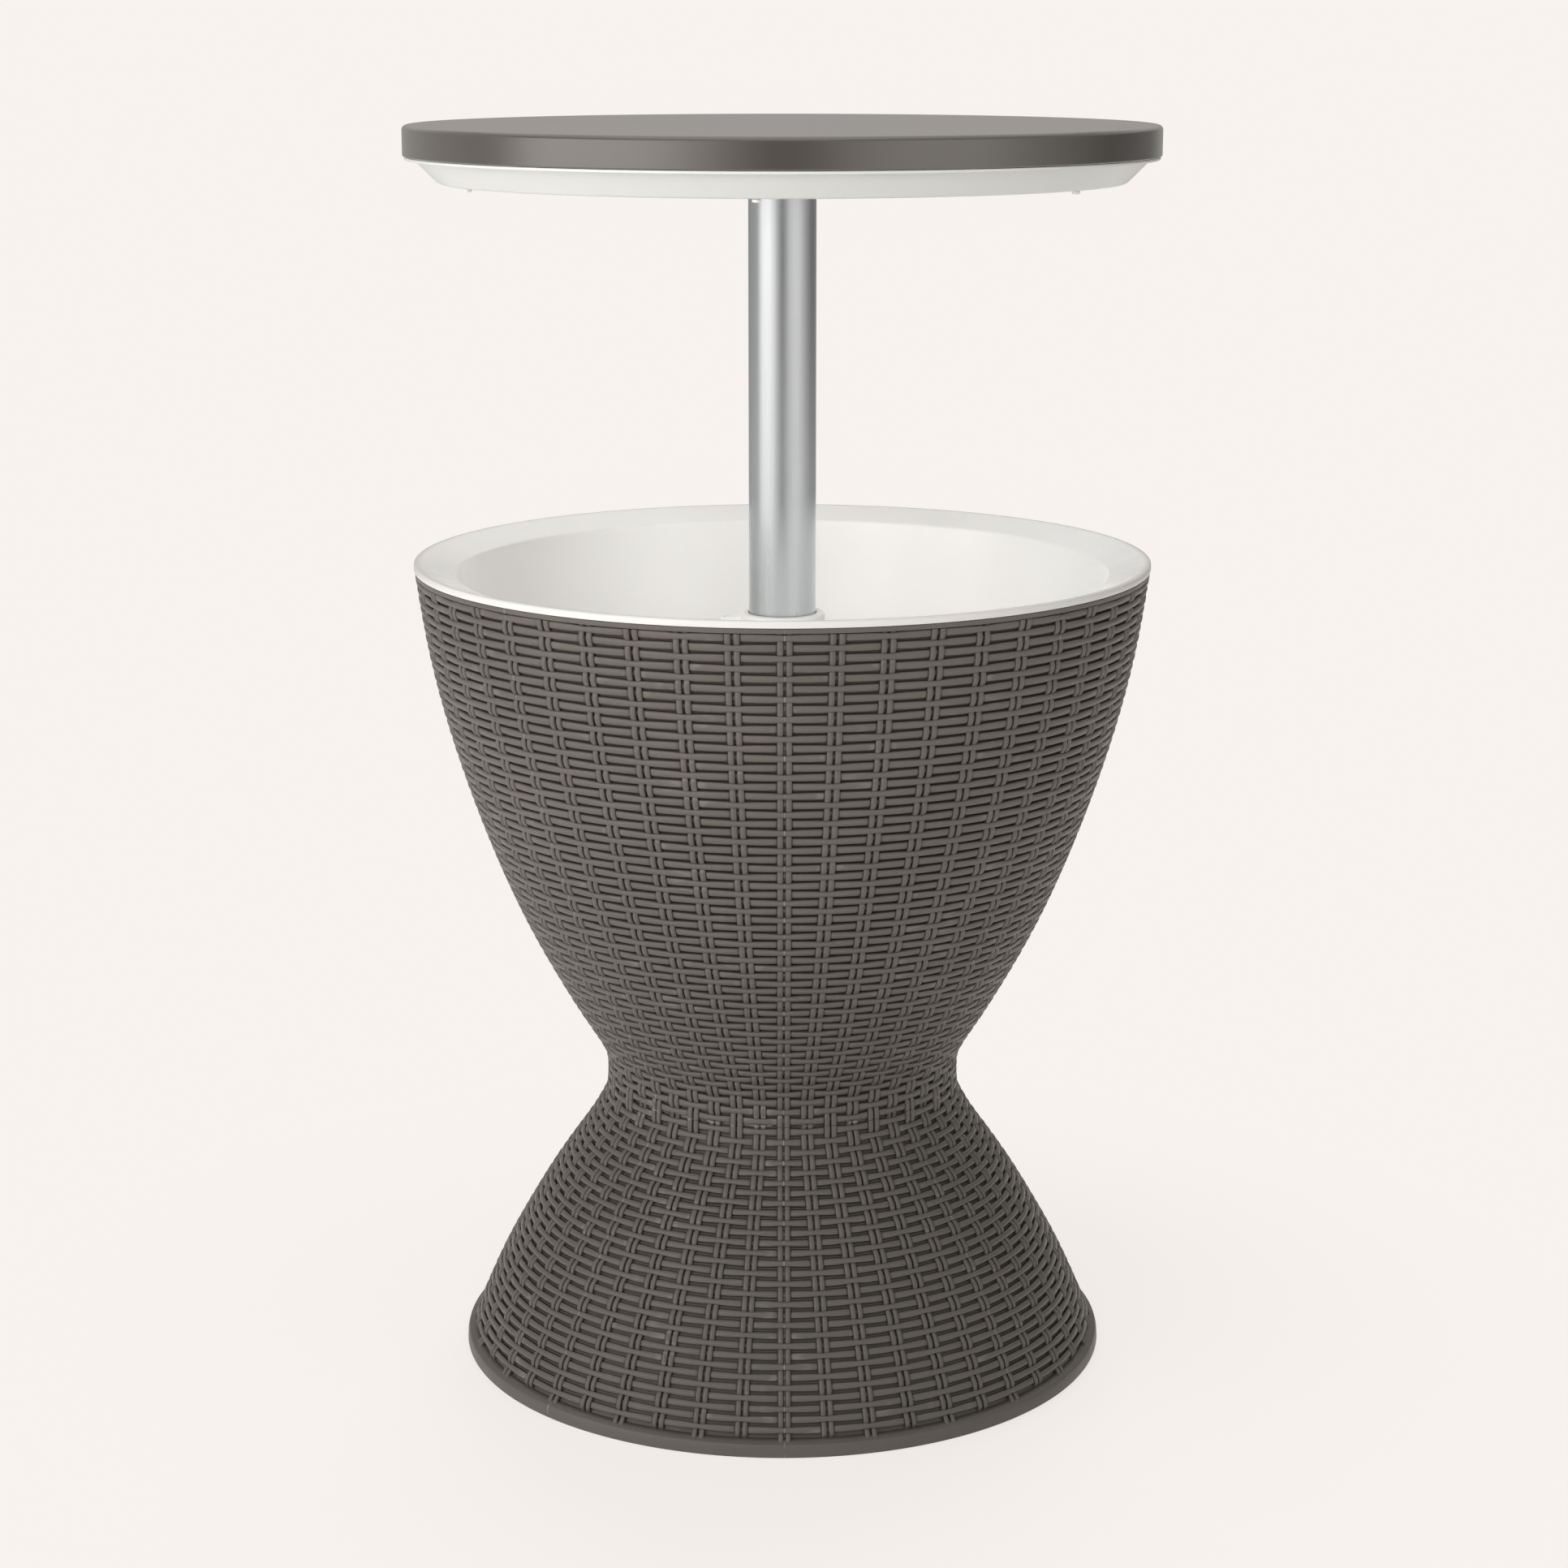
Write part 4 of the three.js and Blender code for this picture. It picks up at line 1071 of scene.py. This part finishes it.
def drain_plug_skin():
    """Round plug with a flat head and a grip bar, whose section is a rounded oblong.

    Up the bar, its flanks draw in by 1+0.5*(1-share)^3 and its top closes by 0.85+0.15*sqrt(1-share^8).
    """
    centre, head_radius, bottom, top = upright("drain_plug")
    stem_radius = drain_bore - slide_gap
    head_bottom, head_top = bottom + 18, bottom + 21
    bar_half_width, bar_half_length, bar_foot = 2, 12, head_bottom + 1.5
    middle_rise = 0.001
    piece = turned_piece("drain_plug_skin", [
        (0, bottom, 0), (stem_radius, bottom, 1), (stem_radius, head_bottom, 0),
        (head_radius, head_bottom, 0.4), (head_radius, head_top, 1.2), (0, head_top + middle_rise, 0),
    ], tube_sides, centre=centre)
    share = np.linspace(0, 1, 9)[:, None]
    angle = angles(48)[None]
    pinch = np.sqrt(np.clip(1 - (share * 1.02 - 0.02).clip(0) ** 8, 0, 1)) * 0.15 + 0.85
    flank = 1 + 0.5 * (1 - share) ** 3
    x = bar_half_width * flank * pinch * bulged(np.cos(angle))
    y = bar_half_length * pinch * bulged(np.sin(angle), 0.4)
    z = bar_foot + (top - bar_foot) * share + 0 * angle
    shaped(piece, "UNION", *tubes(np.stack([x, y, z], -1)[None] + (*centre, 0)))
    dressed(piece, "drain", "plug_grey", plug_grey)
    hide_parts("drain_plug")


drain_plug_skin()


# ---- Studio ----

background = linear(247, 242, 238)


# Distances in metres at which the floor's shadow starts and ends to fade
shadow_fade = (0.22, 0.6)


def studio_floor():
    """Pale floor that keeps the shadow near the table and fades to the background's colour farther out."""
    radii = np.concatenate([[0], np.geomspace(0.2, 30, 40)]) / MM
    profile = np.column_stack([radii, np.full(len(radii), -0.5)])
    floor = new_object("studio_floor", *turned(profile, tube_sides, closed=False))
    paper = Finish("studio_paper", background, 0.9, specular=0.0)
    length = paper.node("ShaderNodeVectorMath", [paper.place], operation="LENGTH").outputs["Value"]
    far = paper.spread(length, *shadow_fade, 0.8, 1.0, smooth=True)
    glow = paper.glow("ShaderNodeEmission", background)
    paper.relief(paper.noise(350, 3, 0.6), 0.02)
    paper.done()
    far = paper.times(far, paper.seen())
    paper.show("Material", paper.blend(far, paper.shader.outputs[0], glow))
    floor.data.shade_smooth()
    floor.data.materials.append(paper.material)


def studio_world(ambient):
    """Background seen by the camera, by mirrors and through glass, and a softer ambient light."""
    world = bpy.data.worlds.new("studio")
    bpy.context.scene.world = world
    world.use_nodes = True
    sky = Nodes(world.node_tree)
    soft = sky.glow("ShaderNodeBackground", linear(250, 248, 246), ambient)
    plain = sky.glow("ShaderNodeBackground", background)
    sky.show("World", sky.blend(sky.seen(), soft, plain))


def softbox(name, azimuth, distance, height, width, tall, radiance, aim=0.45, mirrored=True):
    """Rectangular light at an azimuth from the front, aimed at the table's middle.

    A flat lamp of area A gives off pi*A times its radiance, so that is the power it gets. A lamp that
    isn't mirrored gives soft light only and leaves no bright spot on gloss.
    """
    lamp = bpy.data.lights.new(name, "AREA")
    lamp.shape = "RECTANGLE"
    lamp.size, lamp.size_y = width, tall
    lamp.energy = radiance * math.pi * width * tall
    holder = bpy.data.objects.new(name, lamp)
    bpy.context.scene.collection.objects.link(holder)
    turn = math.radians(azimuth)
    holder.location = (distance * math.sin(turn), -distance * math.cos(turn), height)
    pitch = math.atan2(distance, height - aim)
    holder.rotation_euler = (pitch, 0, turn)
    holder.visible_glossy = mirrored


# Heights in metres at which the wall's cards begin, stand full, start to fade and end
card_heights = (-0.25, 0.45, 1.25, 1.8)


def reflection_wall(levels, radius=3.2, low=-0.4, high=3.4, even_level=0.5, rows=39, columns=145):
    """Round wall of grey and white cards that only reflections see.

    Its level runs smoothly with azimuth, and fades to an even level towards the floor and the ceiling.
    """
    degrees = np.linspace(-180, 180, columns)
    height = np.linspace(low, high, rows)[:, None]
    share = np.interp(height, card_heights, (0, 1, 1, 0))
    level = even_level + (np.interp(degrees, *np.transpose(levels)) - even_level) * share
    angle = np.radians(degrees)
    x, y = radius * np.sin(angle), -radius * np.cos(angle)
    points = np.stack(np.broadcast_arrays(x, y, height), -1) / MM
    quads = grid_quads(rows, columns, wrap_rows=False, wrap_columns=False)
    wall = new_object("reflection_wall", points.reshape(-1, 3), [quads])
    attribute = wall.data.attributes.new("level", "FLOAT", "POINT")
    attribute.data.foreach_set("value", level.ravel().astype(np.float32))
    cards = bpy.data.materials.new("reflection_cards")
    cards.use_nodes = True
    nodes = Nodes(cards.node_tree)
    level = nodes.node("ShaderNodeAttribute", attribute_name="level").outputs["Fac"]
    nodes.show("Material", nodes.glow("ShaderNodeEmission", linear(255, 251, 247), level))
    wall.data.materials.append(cards)
    wall.visible_camera = wall.visible_diffuse = wall.visible_shadow = False
    wall.visible_transmission = wall.visible_volume_scatter = False


studio_floor()
studio_world(0.25)
softbox("key_softbox", -57, 2.3, 1.1, 2.6, 2.2, 2.15, mirrored=False)
softbox("front_softbox", -8, 2.7, 1.5, 2.4, 1.1, 3.9, aim=0.5, mirrored=False)
softbox("back_softbox", 172, 2.6, 1.68, 2.4, 1.2, 7.0, aim=0.55, mirrored=False)
softbox("fill_softbox", 65, 2.6, 1.6, 1.6, 1.0, 1.5, aim=0.5, mirrored=False)
softbox("top_softbox", -20, 0.6, 2.6, 2.2, 2.2, 0.25, aim=0.8)
reflection_wall([
    (-180, 0.37), (-150, 0.35), (-135, 0.39), (-111, 0.43), (-97, 0.4), (-89, 0.5), (-83, 0.9),
    (-77, 1.5), (-70, 1.8), (-45, 1.8), (-36, 1.65), (-29, 1.3), (-20, 0.85), (-13, 0.47), (-6, 0.15),
    (0, 0.05), (7, 0.15), (16, 0.6), (28, 0.95), (42, 1.08), (60, 1), (75, 0.62), (92, 0.36),
    (108, 0.15), (140, 0.2), (155, 0.35), (180, 0.37),
])


# ---- Camera ----

# Camera fitted to the photograph: width and focal length in its pixels, place in metres
photo_pixels = 1932
focal_pixels = 4035.4
sensor_width = 36.0
camera_place = (0.00108, -2.1823, 0.9021)
camera_pitch = math.radians(13.08)

camera = bpy.data.cameras.new("photo_camera")
camera.sensor_width = sensor_width
camera.lens = focal_pixels / photo_pixels * sensor_width
camera.clip_end = 60
camera_holder = bpy.data.objects.new("photo_camera", camera)
camera_holder.location = camera_place
camera_holder.rotation_euler = (math.pi / 2 - camera_pitch, 0, 0)
bpy.context.scene.collection.objects.link(camera_holder)
bpy.context.scene.camera = camera_holder
bpy.context.scene.view_settings.view_transform = "Standard"
